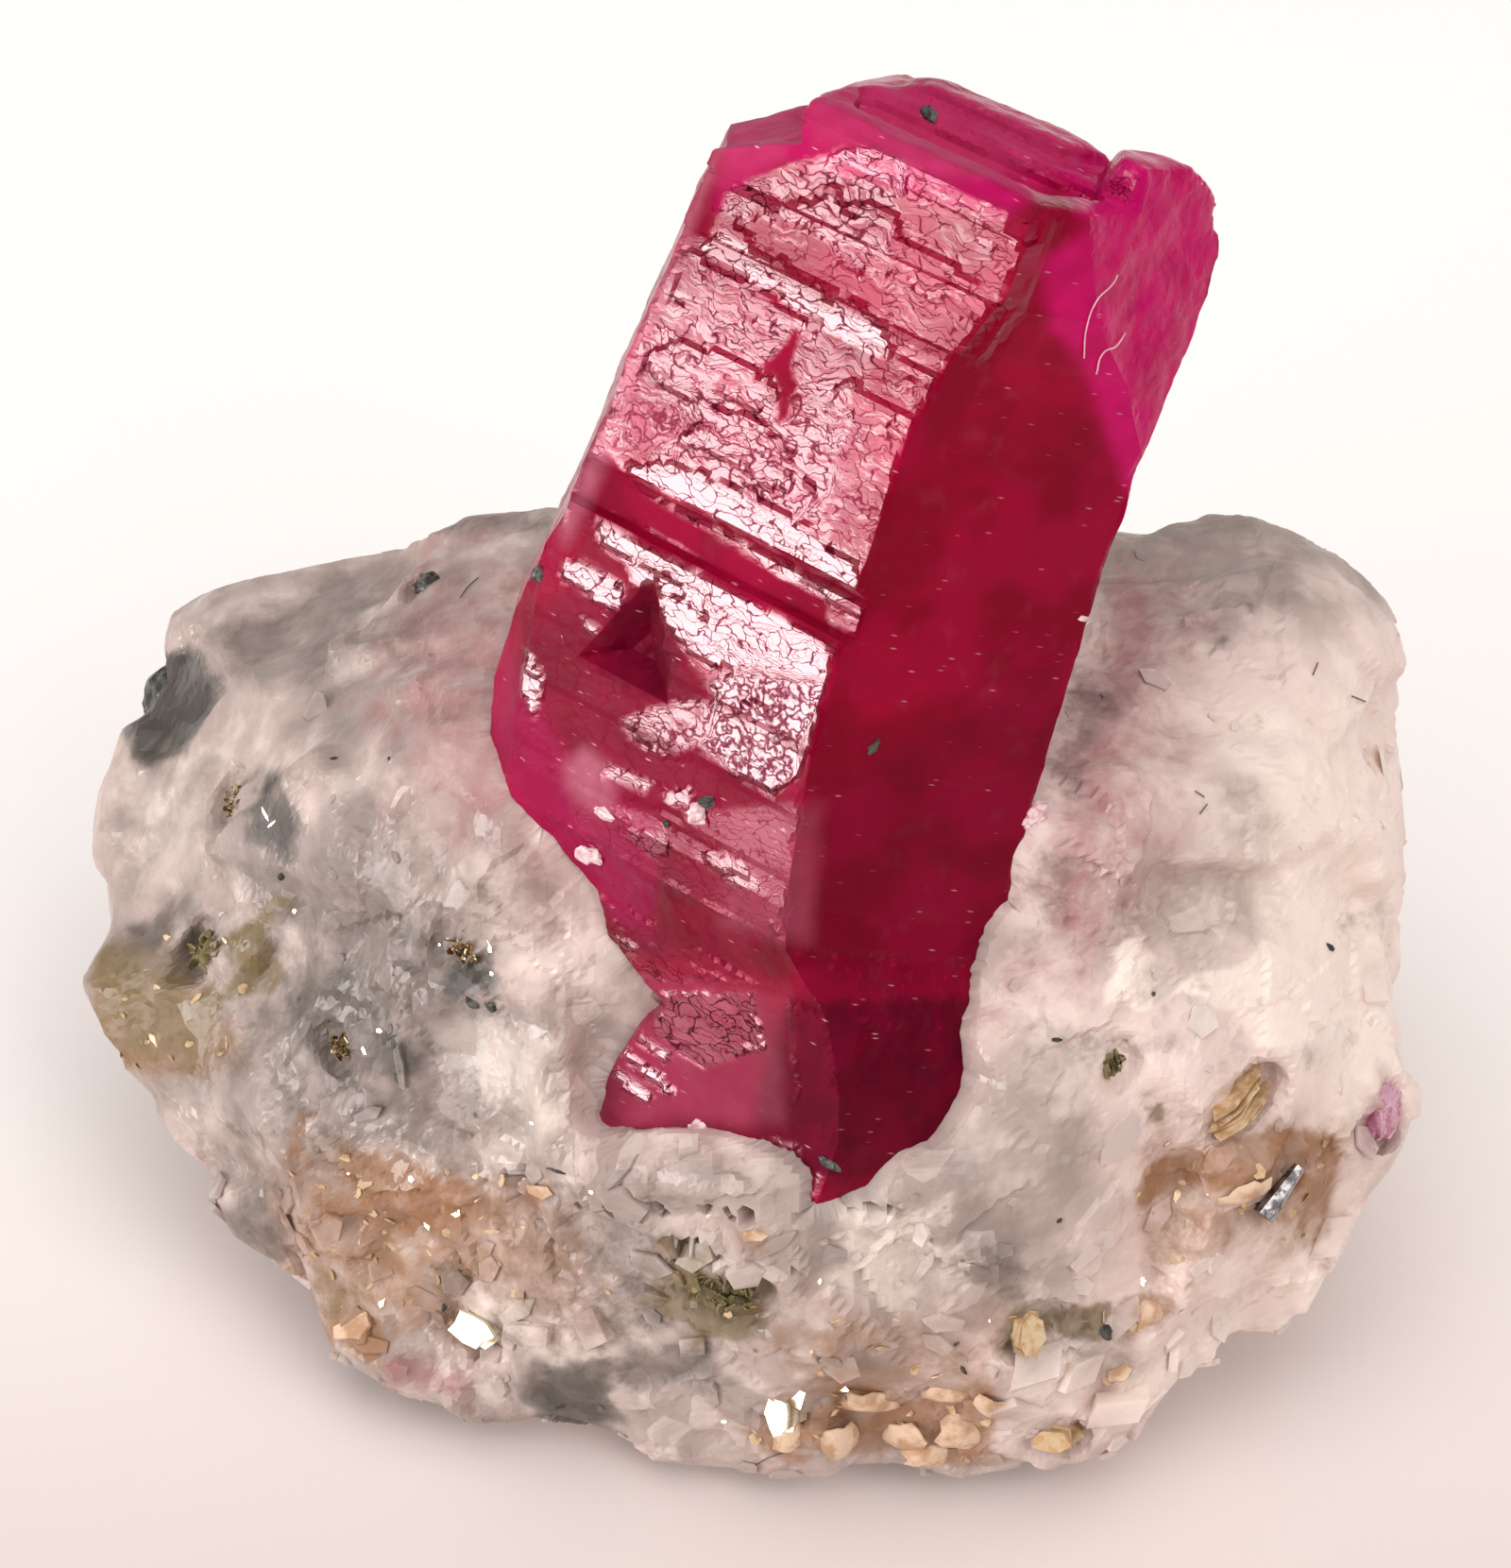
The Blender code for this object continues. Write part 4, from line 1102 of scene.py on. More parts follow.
# Painted shade: the stone is painted darker and greyer to the left, along the top and
# in front: picture columns and rows between which it starts and is full.
SHADE_VEIL_LEFT = (850, 350)
SHADE_VEIL_TOP = (720, 560)
SHADE_VEIL_FRONT = (1080, 1250)
SHADE_VEIL_END = (1250, 1050)


def skin_at(x, y):
    """Place and normal of the stone's skin where the picture shows it."""
    place, normal, _, _ = marble_tree.ray_cast(EYE, sight(x, y))
    return place, normal


def skin_towards(bearing, rise):
    turn, lift = math.radians(bearing), math.radians(rise)
    out = Vector((math.sin(turn) * math.cos(lift), math.cos(turn) * math.cos(lift), math.sin(lift)))
    place, normal, _, _ = marble_tree.ray_cast(HEART + out * FAR, -out)
    return place, normal


def hidden_balls(name):
    balls = []
    for bearing, rise, radius, strength in HIDDEN_STAINS[name]:
        place, _ = skin_towards(bearing, rise)
        balls.append((place, radius * MM, strength))
    return balls


def store_stains(piece):
    points = points_of(piece.data)
    seen = smooth_step(-0.08, 0.12, normals_of(piece.data) @ np.array(TO_EYE))
    waver = np.stack([noise_rows(points, 1.3 * MM, s, 5) for s in (3.0, 17.0, 41.0)], axis=1)
    warped = points + waver * 1.2 * MM
    drift = np.stack([noise_rows(points, 3.6 * MM, s, 3) for s in (23.0, 67.0)], axis=1)
    at = in_picture(points) + STAIN_WAVER * waver[:, :2] + STAIN_DRIFT * drift
    for name in STAINS:
        depth = np.zeros(len(points))
        for strength, edge, corners in STAINS[name]:
            depth = np.maximum(depth, strength * area_rows(at, corners, STAIN_SOFTER * edge) * seen)
        for place, radius, strength in hidden_balls(name):
            far = np.linalg.norm(warped - np.array(place), axis=1) / radius
            depth = np.maximum(depth, strength * smooth_step(1.5, 0.4, far))
        keep_value(piece.data, name, depth)
    # painted shade veil: darker to the left, along the top and in front, mottled by a cloud
    left = smooth_step(*SHADE_VEIL_LEFT, at[:, 0])
    top = smooth_step(*SHADE_VEIL_TOP, at[:, 1])
    front = smooth_step(*SHADE_VEIL_FRONT, at[:, 1]) * smooth_step(*SHADE_VEIL_END, at[:, 0])
    keep_value(piece.data, "shade_veil", np.maximum(np.maximum(left, top), 0.75 * front))
    keep_value(piece.data, "cloud", 0.5 + 0.35 * noise_rows(points, 4.5 * MM, 11.0, 4))
    keep_value(piece.data, "shade_veil_mottle", 0.5 + 0.35 * noise_rows(points, 2.4 * MM, 29.0, 4))


store_stains(marble)
print("stains:", {name: len(spots) for name, spots in STAINS.items()})

# %% [markdown]
# ## The marble's finish
#
# Calcite lets light in a little way, so the material has a short subsurface scatter.
# Its colour wanders between white, lilac grey and a warm pink, then takes the stains.
# Cell noise picks out single grains: some clear and darker, some milky, each with its
# own gloss, and a fine bump gives the sugary breaks between them.

# %% Marble material
MARBLE_PURE = (0.78, 0.62, 0.57, 1.0)
MARBLE_CLEAR = (0.46, 0.360, 0.325, 1.0)
MARBLE_MILK = (0.90, 0.76, 0.70, 1.0)
# painted shade: the dark grey that the shade veil is mottled with
SHADE_VEIL_DARK = (0.25, 0.200, 0.178, 1.0)
SOOT = (0.045, 0.038, 0.03, 1.0)
STAIN_COLOURS = {
    # colour, most share, how soft its edge is
    # pink: partly the stone's own pink, and beside the crystal painted shade and painted pink glow
    "pink": ((0.36, 0.140, 0.150, 1.0), 0.85, 0.45),
    # white: pure stone, and on the right side also painted light and painted highlight
    "white": ((0.95, 0.82, 0.73, 1.0), 0.80, 0.42),
    "orange": ((0.30, 0.135, 0.052, 1.0), 0.95, 0.44),
    # grey: the stone's own grey, and beside the crystal also painted shadow
    "grey": ((0.105, 0.084, 0.070, 1.0), 0.92, 0.44),
    "olive": ((0.17, 0.118, 0.045, 1.0), 0.94, 0.40),
}


def marble_colour(tree, place, lot):
    cloud = own_value(tree, "cloud")
    fine = noise_at(tree, place, 1.6, 3.0, 0.6)
    # painted shade: the veil pulls the colour to the darker clear tone and, in clouds, to a dark grey
    shade_veil = math_node(tree, "MULTIPLY", own_value(tree, "shade_veil"), 0.36)
    clear = math_node(tree, "SUBTRACT", math_node(tree, "ADD", cloud, shade_veil), 0.14)
    colour = mix_colour(tree, remap(tree, clear, 0.36, 0.64), MARBLE_PURE, MARBLE_CLEAR)
    colour = mix_colour(tree, remap(tree, fine, 0.45, 0.75, 0.0, 0.5), colour, MARBLE_MILK)
    shade_veil_mottle = remap(tree, own_value(tree, "shade_veil_mottle"), 0.36, 0.62, 0.12, 0.72)
    shade_veil_mottle = math_node(tree, "MULTIPLY", shade_veil_mottle, own_value(tree, "shade_veil"))
    colour = mix_colour(tree, shade_veil_mottle, colour, SHADE_VEIL_DARK)
    crisp = math_node(tree, "MULTIPLY", remap(tree, lot, 0.6, 1.0, 0.0, 0.30), own_value(tree, "fresh"))
    return mix_colour(tree, crisp, colour, MARBLE_MILK)


def stained(tree, place, colour):
    cloud = noise_at(tree, place, 1.0, 4.0, 0.66)
    uneven = remap(tree, noise_at(tree, place, 0.7, 2.0), 0.35, 0.62, 0.78, 1.0)
    for name, (stain, most, soft) in STAIN_COLOURS.items():
        patch = use_group(tree, RAGGED, {"Value": own_value(tree, name), "Cloud": cloud,
                                         "Break": 1.15, "Edge": soft})
        share = math_node(tree, "MULTIPLY", math_node(tree, "MULTIPLY", patch.outputs[0], most), uneven)
        colour = mix_colour(tree, share, colour, stain)
    return colour


def marble_material():
    made, tree, shader, _ = new_material("marble")
    place = object_place(tree)
    lots = put(tree, "ShaderNodeSeparateColor", {0: cells_at(tree, place, 1.1).outputs["Color"]}).outputs
    colour = stained(tree, place, marble_colour(tree, place, lots[0]))
    dark = use_group(tree, FLECKS, {"Vector": place, "Scale": 1100.0, "Share": 0.02, "Spot": 0.15})
    sooty = use_group(tree, FLECKS, {"Vector": place, "Scale": 3200.0, "Share": 0.35, "Spot": 0.55})
    grimy = math_node(tree, "MAXIMUM", own_value(tree, "grey"), own_value(tree, "olive"))
    sooty = math_node(tree, "MULTIPLY", sooty.outputs[0], remap(tree, grimy, 0.5, 1.0, 0.0, 0.75))
    core = math_node(tree, "ADD", own_value(tree, "grey"), math_node(tree, "MULTIPLY", lots[2], 0.2))
    sooty = math_node(tree, "MAXIMUM", sooty, remap(tree, core, 1.0, 1.5, 0.0, 0.85))
    colour = mix_colour(tree, math_node(tree, "MAXIMUM", dark.outputs[0], sooty), colour, SOOT)
    tree.links.new(colour, shader.inputs["Base Color"])
    tree.links.new(remap(tree, lots[1], 0.0, 1.0, 0.30, 0.65), shader.inputs["Roughness"])
    fine = noise_at(tree, place, 0.3, 2.0, 0.6)
    bump = put(tree, "ShaderNodeBump", {"Height": fine, "Strength": 0.35, "Distance": 0.04 * MM})
    tree.links.new(bump.outputs[0], shader.inputs["Normal"])
    shader.inputs["Subsurface Weight"].default_value = 0.22
    shader.inputs["Subsurface Radius"].default_value = (1.0, 0.8, 0.72)
    shader.inputs["Subsurface Scale"].default_value = 1.2 * MM
    shader.inputs["IOR"].default_value = 1.55
    return made


marble_finish = marble_material()
finish_with(marble, marble_finish)
print("marble stained with", ", ".join(STAIN_COLOURS))

# %% [markdown]
# ## Small crystals in the stone
#
# Each small solid of the frame stands for one mineral grain. The real ones are books
# of mica plates, knots of brassy pyrite, a bright silvery crystal and dark lumps. They
# are built from two simple bodies, a flat plate with an uneven outline and a block,
# set in the frame solid's own place and size by its long, middle and short axes.

# %% Where a grain lies
FLASH = LEFT_FACE_OUT      # a plate facing this way mirrors the left box into the lens
SHELL_SIDES = 16
SHELL_RINGS = 4


def grain_frame(node):
    """Middle, axes (long, middle, short) and half sizes of a small frame solid."""
    points = points_of(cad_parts[node].data)
    middle = points.mean(axis=0)
    axes = np.linalg.svd(points - middle, full_matrices=False)[2]
    half = np.abs((points - middle) @ axes.T).max(axis=0)
    return Vector(middle), [Vector(axis) for axis in axes], half


def facing_turn(out, along, roll=0.0):
    """Turn whose z points out and whose x lies along a direction as near as it can."""
    z = out.normalized()
    x = (along - z * along.dot(z)).normalized()
    turn = Matrix((x, z.cross(x), z)).transposed()
    return turn @ Matrix.Rotation(roll, 3, "Z")


def tilted(turn, rng, degrees):
    """The same turn, tipped a random few degrees."""
    lean = [math.radians(rng.uniform(-degrees, degrees)) for _ in range(3)]
    return turn @ Euler(lean, "XYZ").to_matrix()


def add_plate(bm, middle, turn, size, sides, rng):
    """A thin plate with an uneven outline; size is across, along and thick."""
    ring = []
    for number in range(sides):
        angle = 2 * math.pi * (number + rng.uniform(-0.22, 0.22)) / sides
        reach = rng.uniform(0.62, 1.0)
        ring.append(Vector((math.cos(angle) * size[0] * reach, math.sin(angle) * size[1] * reach, 0.0)))
    lift = Vector((0.0, 0.0, size[2] / 2))
    low = [bm.verts.new(middle + turn @ (corner - lift)) for corner in ring]
    high = [bm.verts.new(middle + turn @ (corner + lift)) for corner in ring]
    bm.faces.new(high)
    bm.faces.new(list(reversed(low)))
    for number in range(sides):
        after = (number + 1) % sides
        bm.faces.new((low[number], low[after], high[after], high[number]))


def add_shell(bm, middle, turn, size, bend, rng):
    """A thin plate with an uneven outline, bent like a saucer."""
    reach = rng.uniform(0.62, 1.0, SHELL_SIDES)
    skins = []
    for lift in (0.5, -0.5):
        rings = []
        for ring in range(SHELL_RINGS + 1):
            spots = []
            for side in range(SHELL_SIDES if ring else 1):
                angle = 2 * math.pi * side / SHELL_SIDES
                far = reach[side] * ring / SHELL_RINGS
                spot = Vector((math.cos(angle) * far * size[0], math.sin(angle) * far * size[1],
                               size[2] * lift - bend * far * far))
                spots.append(bm.verts.new(middle + turn @ spot))
            rings.append(spots)
        skins.append(rings)
    for rings, order in zip(skins, (1, -1)):
        for inner, outer in zip(rings, rings[1:]):
            for side in range(SHELL_SIDES):
                after = (side + 1) % SHELL_SIDES
                face = [inner[0], outer[side], outer[after]]
                if len(inner) > 1:
                    face = [inner[side], outer[side], outer[after], inner[after]]
                bm.faces.new(face[::order])
    for side in range(SHELL_SIDES):
        after = (side + 1) % SHELL_SIDES
        top, bottom = skins[0][-1], skins[1][-1]
        bm.faces.new((top[side], bottom[side], bottom[after], top[after]))


def add_block(bm, middle, turn, size, skew=0.0):
    made = bmesh.ops.create_cube(bm, size=1.0)["verts"]
    for vertex in made:
        vertex.co.x += skew * vertex.co.y
        vertex.co.y += skew * vertex.co.z
    bmesh.ops.scale(bm, vec=size, verts=made)
    bmesh.ops.transform(bm, matrix=Matrix.Translation(middle) @ turn.to_4x4(), verts=made)


print("plates facing", [round(c, 2) for c in FLASH], "flash")

# %% [markdown]
# A mica book is a stack of plates, each slid and turned a little against the last.
# A knot is a handful of plates or blocks thrown into an egg-shaped space. Both take
# their randomness from a generator seeded by the node's name, so they never change.

# %% Books and knots


def rng_for(name):
    return np.random.default_rng(sum(ord(letter) * (i + 1) for i, letter in enumerate(name)))


def mica_book(node, out, along, count, sides=7):
    """A stack of plates as wide as the node, standing on the direction out."""
    middle, axes, half = grain_frame(node)
    rng = rng_for(node)
    turn = facing_turn(out, along)
    deep = 2 * abs(Vector([out.dot(axis) * h for axis, h in zip(axes, half)]).length)
    pitch = deep / count
    bm = bmesh.new()
    for number in range(count):
        at = middle + out * (number - (count - 1) / 2) * pitch
        slide = turn @ Vector(rng.uniform(-0.12, 0.12, 3)) * half[0]
        share = rng.uniform(0.8, 1.0)
        size = (half[0] * share, half[1] * 1.05 * share, pitch * 0.75)
        add_plate(bm, at + slide, tilted(turn, rng, 3.0), size, sides, rng)
    return bm


def knot(node, count, size, kind, spread=0.85):
    """Small plates or blocks thrown into the node's egg-shaped space."""
    middle, axes, half = grain_frame(node)
    rng = rng_for(node)
    bm = bmesh.new()
    for _ in range(count):
        ball = rng.normal(size=3)
        ball *= spread * rng.uniform(0.3, 1.0) / np.linalg.norm(ball)
        at = middle + sum((axis * h * b for axis, h, b in zip(axes, half, ball)), Vector())
        turn = Euler(rng.uniform(0, 2 * math.pi, 3)).to_matrix()
        big = size * rng.uniform(0.6, 1.3)
        if kind == "plates":
            add_plate(bm, at, turn, (big, big * 0.7, big * 0.16), 6, rng)
        else:
            add_block(bm, at, turn, Vector((big, big * rng.uniform(0.7, 1.2), big * 0.8)))
    return bm


def rough_lump(node, rough, grain, subdivisions=4, grow=1.0):
    """A knobbly egg in the node's place."""
    middle, axes, half = grain_frame(node)
    bm = bmesh.new()
    bmesh.ops.create_icosphere(bm, subdivisions=subdivisions, radius=1.0)
    for vertex in bm.verts:
        spot = vertex.co.copy()
        swell = 1.0 + rough * noise.fractal(spot * grain, 1.0, 2.0, 4)
        vertex.co = middle + sum((axis * h * c * swell * grow for axis, h, c in zip(axes, half, spot)), Vector())
    bmesh.ops.recalc_face_normals(bm, faces=bm.faces)
    return bm


def prism_cluster(node, count, sides, thin, lean):
    """Slim pointed prisms that grew side by side along the node's length."""
    middle, axes, half = grain_frame(node)
    rng = rng_for(node)
    bm = bmesh.new()
    for number in range(count):
        slide = (number - (count - 1) / 2) / max(count - 1, 1)
        at = middle + axes[1] * half[1] * slide * 1.2 + axes[2] * half[2] * rng.uniform(-0.3, 0.3)
        along = (axes[0] + axes[1] * rng.uniform(-lean, lean) + axes[2] * rng.uniform(-lean, lean)).normalized()
        turn = facing_turn(along, axes[2], rng.uniform(0, 2))
        long = half[0] * rng.uniform(1.5, 2.0)
        wide = half[1] * thin * rng.uniform(0.8, 1.2)
        made = bmesh.ops.create_cone(bm, cap_ends=True, segments=sides, radius1=wide,
                                     radius2=wide * 0.55, depth=long)["verts"]
        bmesh.ops.transform(bm, matrix=Matrix.Translation(at) @ turn.to_4x4(), verts=made)
    return bm


print("builders: book, knot, lump, prisms")

# %% [markdown]
# Four finishes cover them. Mica is pearly: half metallic, with thin bright plates.
# Pyrite and the silvery crystal are metals with a tarnish. The dark grains are dull,
# with a few glints.

# %% Grain materials


def metal_material(name, bright, tarnish, roughness, metallic, clump_mm=0.3):
    made, tree, shader, _ = new_material(name)
    place = object_place(tree)
    share = remap(tree, noise_at(tree, place, clump_mm, 5.0), 0.4, 0.62)
    tree.links.new(mix_colour(tree, share, bright, tarnish), shader.inputs["Base Color"])
    tree.links.new(remap(tree, share, 0.0, 1.0, roughness, roughness + 0.3), shader.inputs["Roughness"])
    shader.inputs["Metallic"].default_value = metallic
    ridge = noise_at(tree, place, clump_mm * 0.3, 3.0)
    bump = put(tree, "ShaderNodeBump", {"Height": ridge, "Strength": 0.25, "Distance": 0.02 * MM})
    tree.links.new(bump.outputs[0], shader.inputs["Normal"])
    return made


mica = metal_material("mica", (0.74, 0.56, 0.36, 1.0), (0.50, 0.31, 0.15, 1.0), 0.16, 0.35)
bright_mica = metal_material("bright_mica", (0.95, 0.90, 0.78, 1.0), (0.72, 0.58, 0.40, 1.0), 0.14, 0.6)
olive_mica = metal_material("olive_mica", (0.24, 0.19, 0.085, 1.0), (0.11, 0.09, 0.035, 1.0), 0.28, 0.2)
pyrite = metal_material("pyrite", (0.70, 0.54, 0.32, 1.0), (0.16, 0.11, 0.07, 1.0), 0.16, 1.0, 0.18)
silver = metal_material("silver_sulphide", (0.36, 0.35, 0.36, 1.0), (0.10, 0.09, 0.09, 1.0), 0.14, 1.0)
dark = metal_material("dark_sulphide", (0.10, 0.095, 0.085, 1.0), (0.028, 0.027, 0.022, 1.0), 0.35, 0.2)
print("grain finishes: mica, bright_mica, olive_mica, pyrite, silver_sulphide, dark_sulphide")

# %% Build every grain
small_pieces = []


def add_grain(node, bm, finish, slot):
    piece = from_bmesh("grain_" + node, bm)
    finish_with(piece, finish)
    small_pieces.append((piece, node, slot))
    return piece


def side_on(node):
    """Direction in which a book's plates stack when their edges show."""
    return grain_frame(node)[1][1]


def long_way(node):
    return grain_frame(node)[1][0]


def tip(direction, towards, share):
    return (direction + towards * share).normalized()


add_grain("mica_front_left", mica_book("mica_front_left", FLASH, ACROSS, 6, 9), bright_mica, "mica")
add_grain("mica_front_low", mica_book("mica_front_low", FLASH, UPWARD, 5, 9), bright_mica, "mica")
add_grain("mica_plate_low", mica_book("mica_plate_low", tip(FLASH, ACROSS, 0.7), UPWARD, 6), mica, "mica")
add_grain("mica_foot", mica_book("mica_foot", tip(FLASH, ACROSS, 0.25), ACROSS, 6), mica, "mica")
add_grain("mica_stack_right",
          mica_book("mica_stack_right", side_on("mica_stack_right"), long_way("mica_stack_right"), 9),
          mica, "mica")
add_grain("mica_olive_front", knot("mica_olive_front", 90, 0.24 * MM, "plates"), olive_mica, "mica")
add_grain("mica_olive_left", knot("mica_olive_left", 90, 0.24 * MM, "plates"), olive_mica, "mica")
add_grain("mica_brown_right", knot("mica_brown_right", 40, 0.2 * MM, "plates"), olive_mica, "mica")
for pyrite_node in ("pyrite_far_left", "pyrite_near_ruby", "pyrite_cube_cluster"):
    add_grain(pyrite_node, knot(pyrite_node, 46, 0.17 * MM, "plates"), pyrite, "pyrite")
add_grain("silver_metal_crystal", prism_cluster("silver_metal_crystal", 2, 6, 0.60, 0.06), silver, "silver_sulphide")
add_grain("dark_corner_grain", rough_lump("dark_corner_grain", 0.16, 1.6, 4, 1.12), dark, "dark_sulphide")
add_grain("dark_green_grain", rough_lump("dark_green_grain", 0.35, 2.0, 3, 0.85), dark, "dark_sulphide")
print("grains:", len(small_pieces))

# %% [markdown]
# The pale ruby at the lump's right edge is the same mineral, full of flaws, so its
# clear share is low and its colour a milky pink violet.

# %% Side ruby


def pale_ruby_material():
    made, tree, shader, _ = new_material("pale_ruby")
    place = object_place(tree)
    cloud = remap(tree, noise_at(tree, place, 0.8, 5.0), 0.35, 0.65)
    colour = mix_colour(tree, cloud, (0.46, 0.10, 0.22, 1.0), (0.62, 0.30, 0.40, 1.0))
    tree.links.new(colour, shader.inputs["Base Color"])
    shader.inputs["Roughness"].default_value = 0.25
    shader.inputs["IOR"].default_value = RUBY_INDEX
    shader.inputs["Transmission Weight"].default_value = 0.25
    bump = put(tree, "ShaderNodeBump",
               {"Height": noise_at(tree, place, 0.3, 4.0), "Strength": 0.5, "Distance": 0.05 * MM})
    tree.links.new(bump.outputs[0], shader.inputs["Normal"])
    return made


side_ruby = rough_lump("side_ruby_crystal", 0.3, 1.8)
add_grain("side_ruby_crystal", side_ruby, pale_ruby_material(), "pale_ruby")
print("side ruby done")

# %% [markdown]
# ## Strewn plates
#
# Cleavage plates of calcite and flakes of mica lie all over the skin. That is work for
# Geometry Nodes: points are spread on the skin as thickly as a stored number allows,
# each gets a prism with a few sides, turned to the skin, tipped and spun by chance,
# and the lot is made real, because instances would be lost on the way out.

# %% The strewing tree


def strew_tree():
    tree = bpy.data.node_groups.new("strewn_plates", "GeometryNodeTree")
    for label, kind, start in (
        ("Geometry", "NodeSocketGeometry", None), ("Where", "NodeSocketFloat", 1.0),
        ("Density", "NodeSocketFloat", 1e5), ("Sides", "NodeSocketInt", 4),
        ("Small", "NodeSocketVector", None), ("Large", "NodeSocketVector", None),
        ("Tip", "NodeSocketFloat", 0.2), ("Seed", "NodeSocketInt", 1),
        ("Material", "NodeSocketMaterial", None),
    ):
        socket = tree.interface.new_socket(name=label, in_out="INPUT", socket_type=kind)
        if start is not None:
            socket.default_value = start
    tree.interface.new_socket(name="Geometry", in_out="OUTPUT", socket_type="NodeSocketGeometry")
    taken = tree.nodes.new("NodeGroupInput").outputs
    thick = math_node(tree, "MULTIPLY", taken["Density"], taken["Where"])
    spread = put(tree, "GeometryNodeDistributePointsOnFaces",
                 {"Mesh": taken["Geometry"], "Density": thick, "Seed": taken["Seed"]})
    prism = put(tree, "GeometryNodeMeshCylinder",
                {"Vertices": taken["Sides"], "Radius": 0.5, "Depth": 1.0})
    tip_back = math_node(tree, "MULTIPLY", taken["Tip"], -1.0)
    least = put(tree, "ShaderNodeCombineXYZ", {0: tip_back, 1: tip_back, 2: 0.0})
    most = put(tree, "ShaderNodeCombineXYZ", {0: taken["Tip"], 1: taken["Tip"], 2: 2 * math.pi})
    lean = put(tree, "FunctionNodeRandomValue",
               {0: least.outputs[0], 1: most.outputs[0], "Seed": taken["Seed"]}, data_type="FLOAT_VECTOR")
    lean = put(tree, "FunctionNodeEulerToRotation", {0: lean.outputs[0]})
    turn = put(tree, "FunctionNodeRotateRotation",
               {0: spread.outputs["Rotation"], 1: lean.outputs[0]}, rotation_space="LOCAL")
    size = put(tree, "FunctionNodeRandomValue",
               {0: taken["Small"], 1: taken["Large"], "Seed": math_node(tree, "ADD", taken["Seed"], 7.0)},
               data_type="FLOAT_VECTOR")
    laid = put(tree, "GeometryNodeInstanceOnPoints",
               {"Points": spread.outputs["Points"], "Instance": prism.outputs["Mesh"],
                "Rotation": turn.outputs[0], "Scale": size.outputs[0]})
    real = put(tree, "GeometryNodeRealizeInstances", {0: laid.outputs[0]})
    flat = put(tree, "GeometryNodeSetShadeSmooth", {"Geometry": real.outputs[0], "Shade Smooth": False})
    dressed = put(tree, "GeometryNodeSetMaterial", {"Geometry": flat.outputs[0], "Material": taken["Material"]})
    given = tree.nodes.new("NodeGroupOutput")
    tree.links.new(dressed.outputs[0], given.inputs[0])
    return tree


STREW = strew_tree()


def strew(name, base, where, material, density, sides, small, large, tip_degrees, seed):
    """Strew plates over a mesh; where names the stored number that thins them out."""
    carrier = add_piece(name, base.data.copy())
    modifier = carrier.modifiers.new("strew", "NODES")
    modifier.node_group = STREW
    names = {item.name: item.identifier for item in STREW.interface.items_tree if item.in_out == "INPUT"}
    modifier[names["Density"]] = density / (MM * MM)
    modifier[names["Sides"]] = sides
    modifier[names["Small"]] = [length * MM for length in small]
    modifier[names["Large"]] = [length * MM for length in large]
    modifier[names["Tip"]] = math.radians(tip_degrees)
    modifier[names["Seed"]] = seed
    modifier[names["Material"]] = material
    modifier[names["Where"] + "_use_attribute"] = True
    modifier[names["Where"] + "_attribute_name"] = where
    settle(carrier)
    print(name, "faces:", len(carrier.data.polygons))
    return carrier


# %% [markdown]
# Three numbers say where plates may lie: calcite plates keep off the crystal and the
# worn base and gather in drifts, mica keeps to the orange and olive stains.

# %% Where the plates lie


def store_plate_maps(piece):
    points = points_of(piece.data)
    off_ruby = smooth_step(0.35 * MM, 0.9 * MM, read_value(piece.data, "ruby_gap"))
    off_base = smooth_step(0.4 * MM, 1.5 * MM, points[:, 2])
    drift = smooth_step(-0.25, 0.3, noise_rows(points, 5.0 * MM, 5.0, 3))
    where = drift * (0.03 + 0.97 * read_value(piece.data, "fresh"))
    keep_value(piece.data, "calcite_drift", off_ruby * off_base * where)
    low = smooth_step(1200, 1330, in_picture(points)[:, 1]) * (points[:, 1] < 0.0)
    clump = smooth_step(-0.12, 0.12, noise_rows(points, 2.4 * MM, 9.0, 3))
    keep_value(piece.data, "rubble_drift", off_ruby * off_base * low * clump)
    rusty = np.maximum(read_value(piece.data, "orange"), read_value(piece.data, "olive"))
    keep_value(piece.data, "mica_drift", off_ruby * off_base * smooth_step(0.25, 0.7, rusty))


store_plate_maps(marble)
strewn = {
    "calcite_plates": strew("calcite_plates", marble, "calcite_drift", marble_finish,
                            0.05, 5, (0.6, 0.45, 0.06), (1.9, 1.3, 0.14), 5.0, 3),
    "calcite_chips": strew("calcite_chips", marble, "calcite_drift", marble_finish,
                           0.30, 5, (0.15, 0.12, 0.05), (0.5, 0.35, 0.12), 18.0, 11),
    "front_rubble": strew("front_rubble", marble, "rubble_drift", marble_finish,
                          0.4, 5, (0.35, 0.3, 0.08), (1.6, 1.0, 0.30), 13.0, 31),
    "mica_flakes": strew("mica_flakes", marble, "mica_drift", mica,
                         0.8, 6, (0.10, 0.08, 0.01), (0.55, 0.4, 0.04), 32.0, 23),
}
print("strewn:", list(strewn))

# %% [markdown]
# ## Plates, shells and blocks laid one by one
#
# The bigger cleavage plates and blocks, the bent rusty shells under the front and the
# flakes that flash are set one by one. A calcite block is a leaning box, because
# calcite cleaves at 75 and 105 degrees.

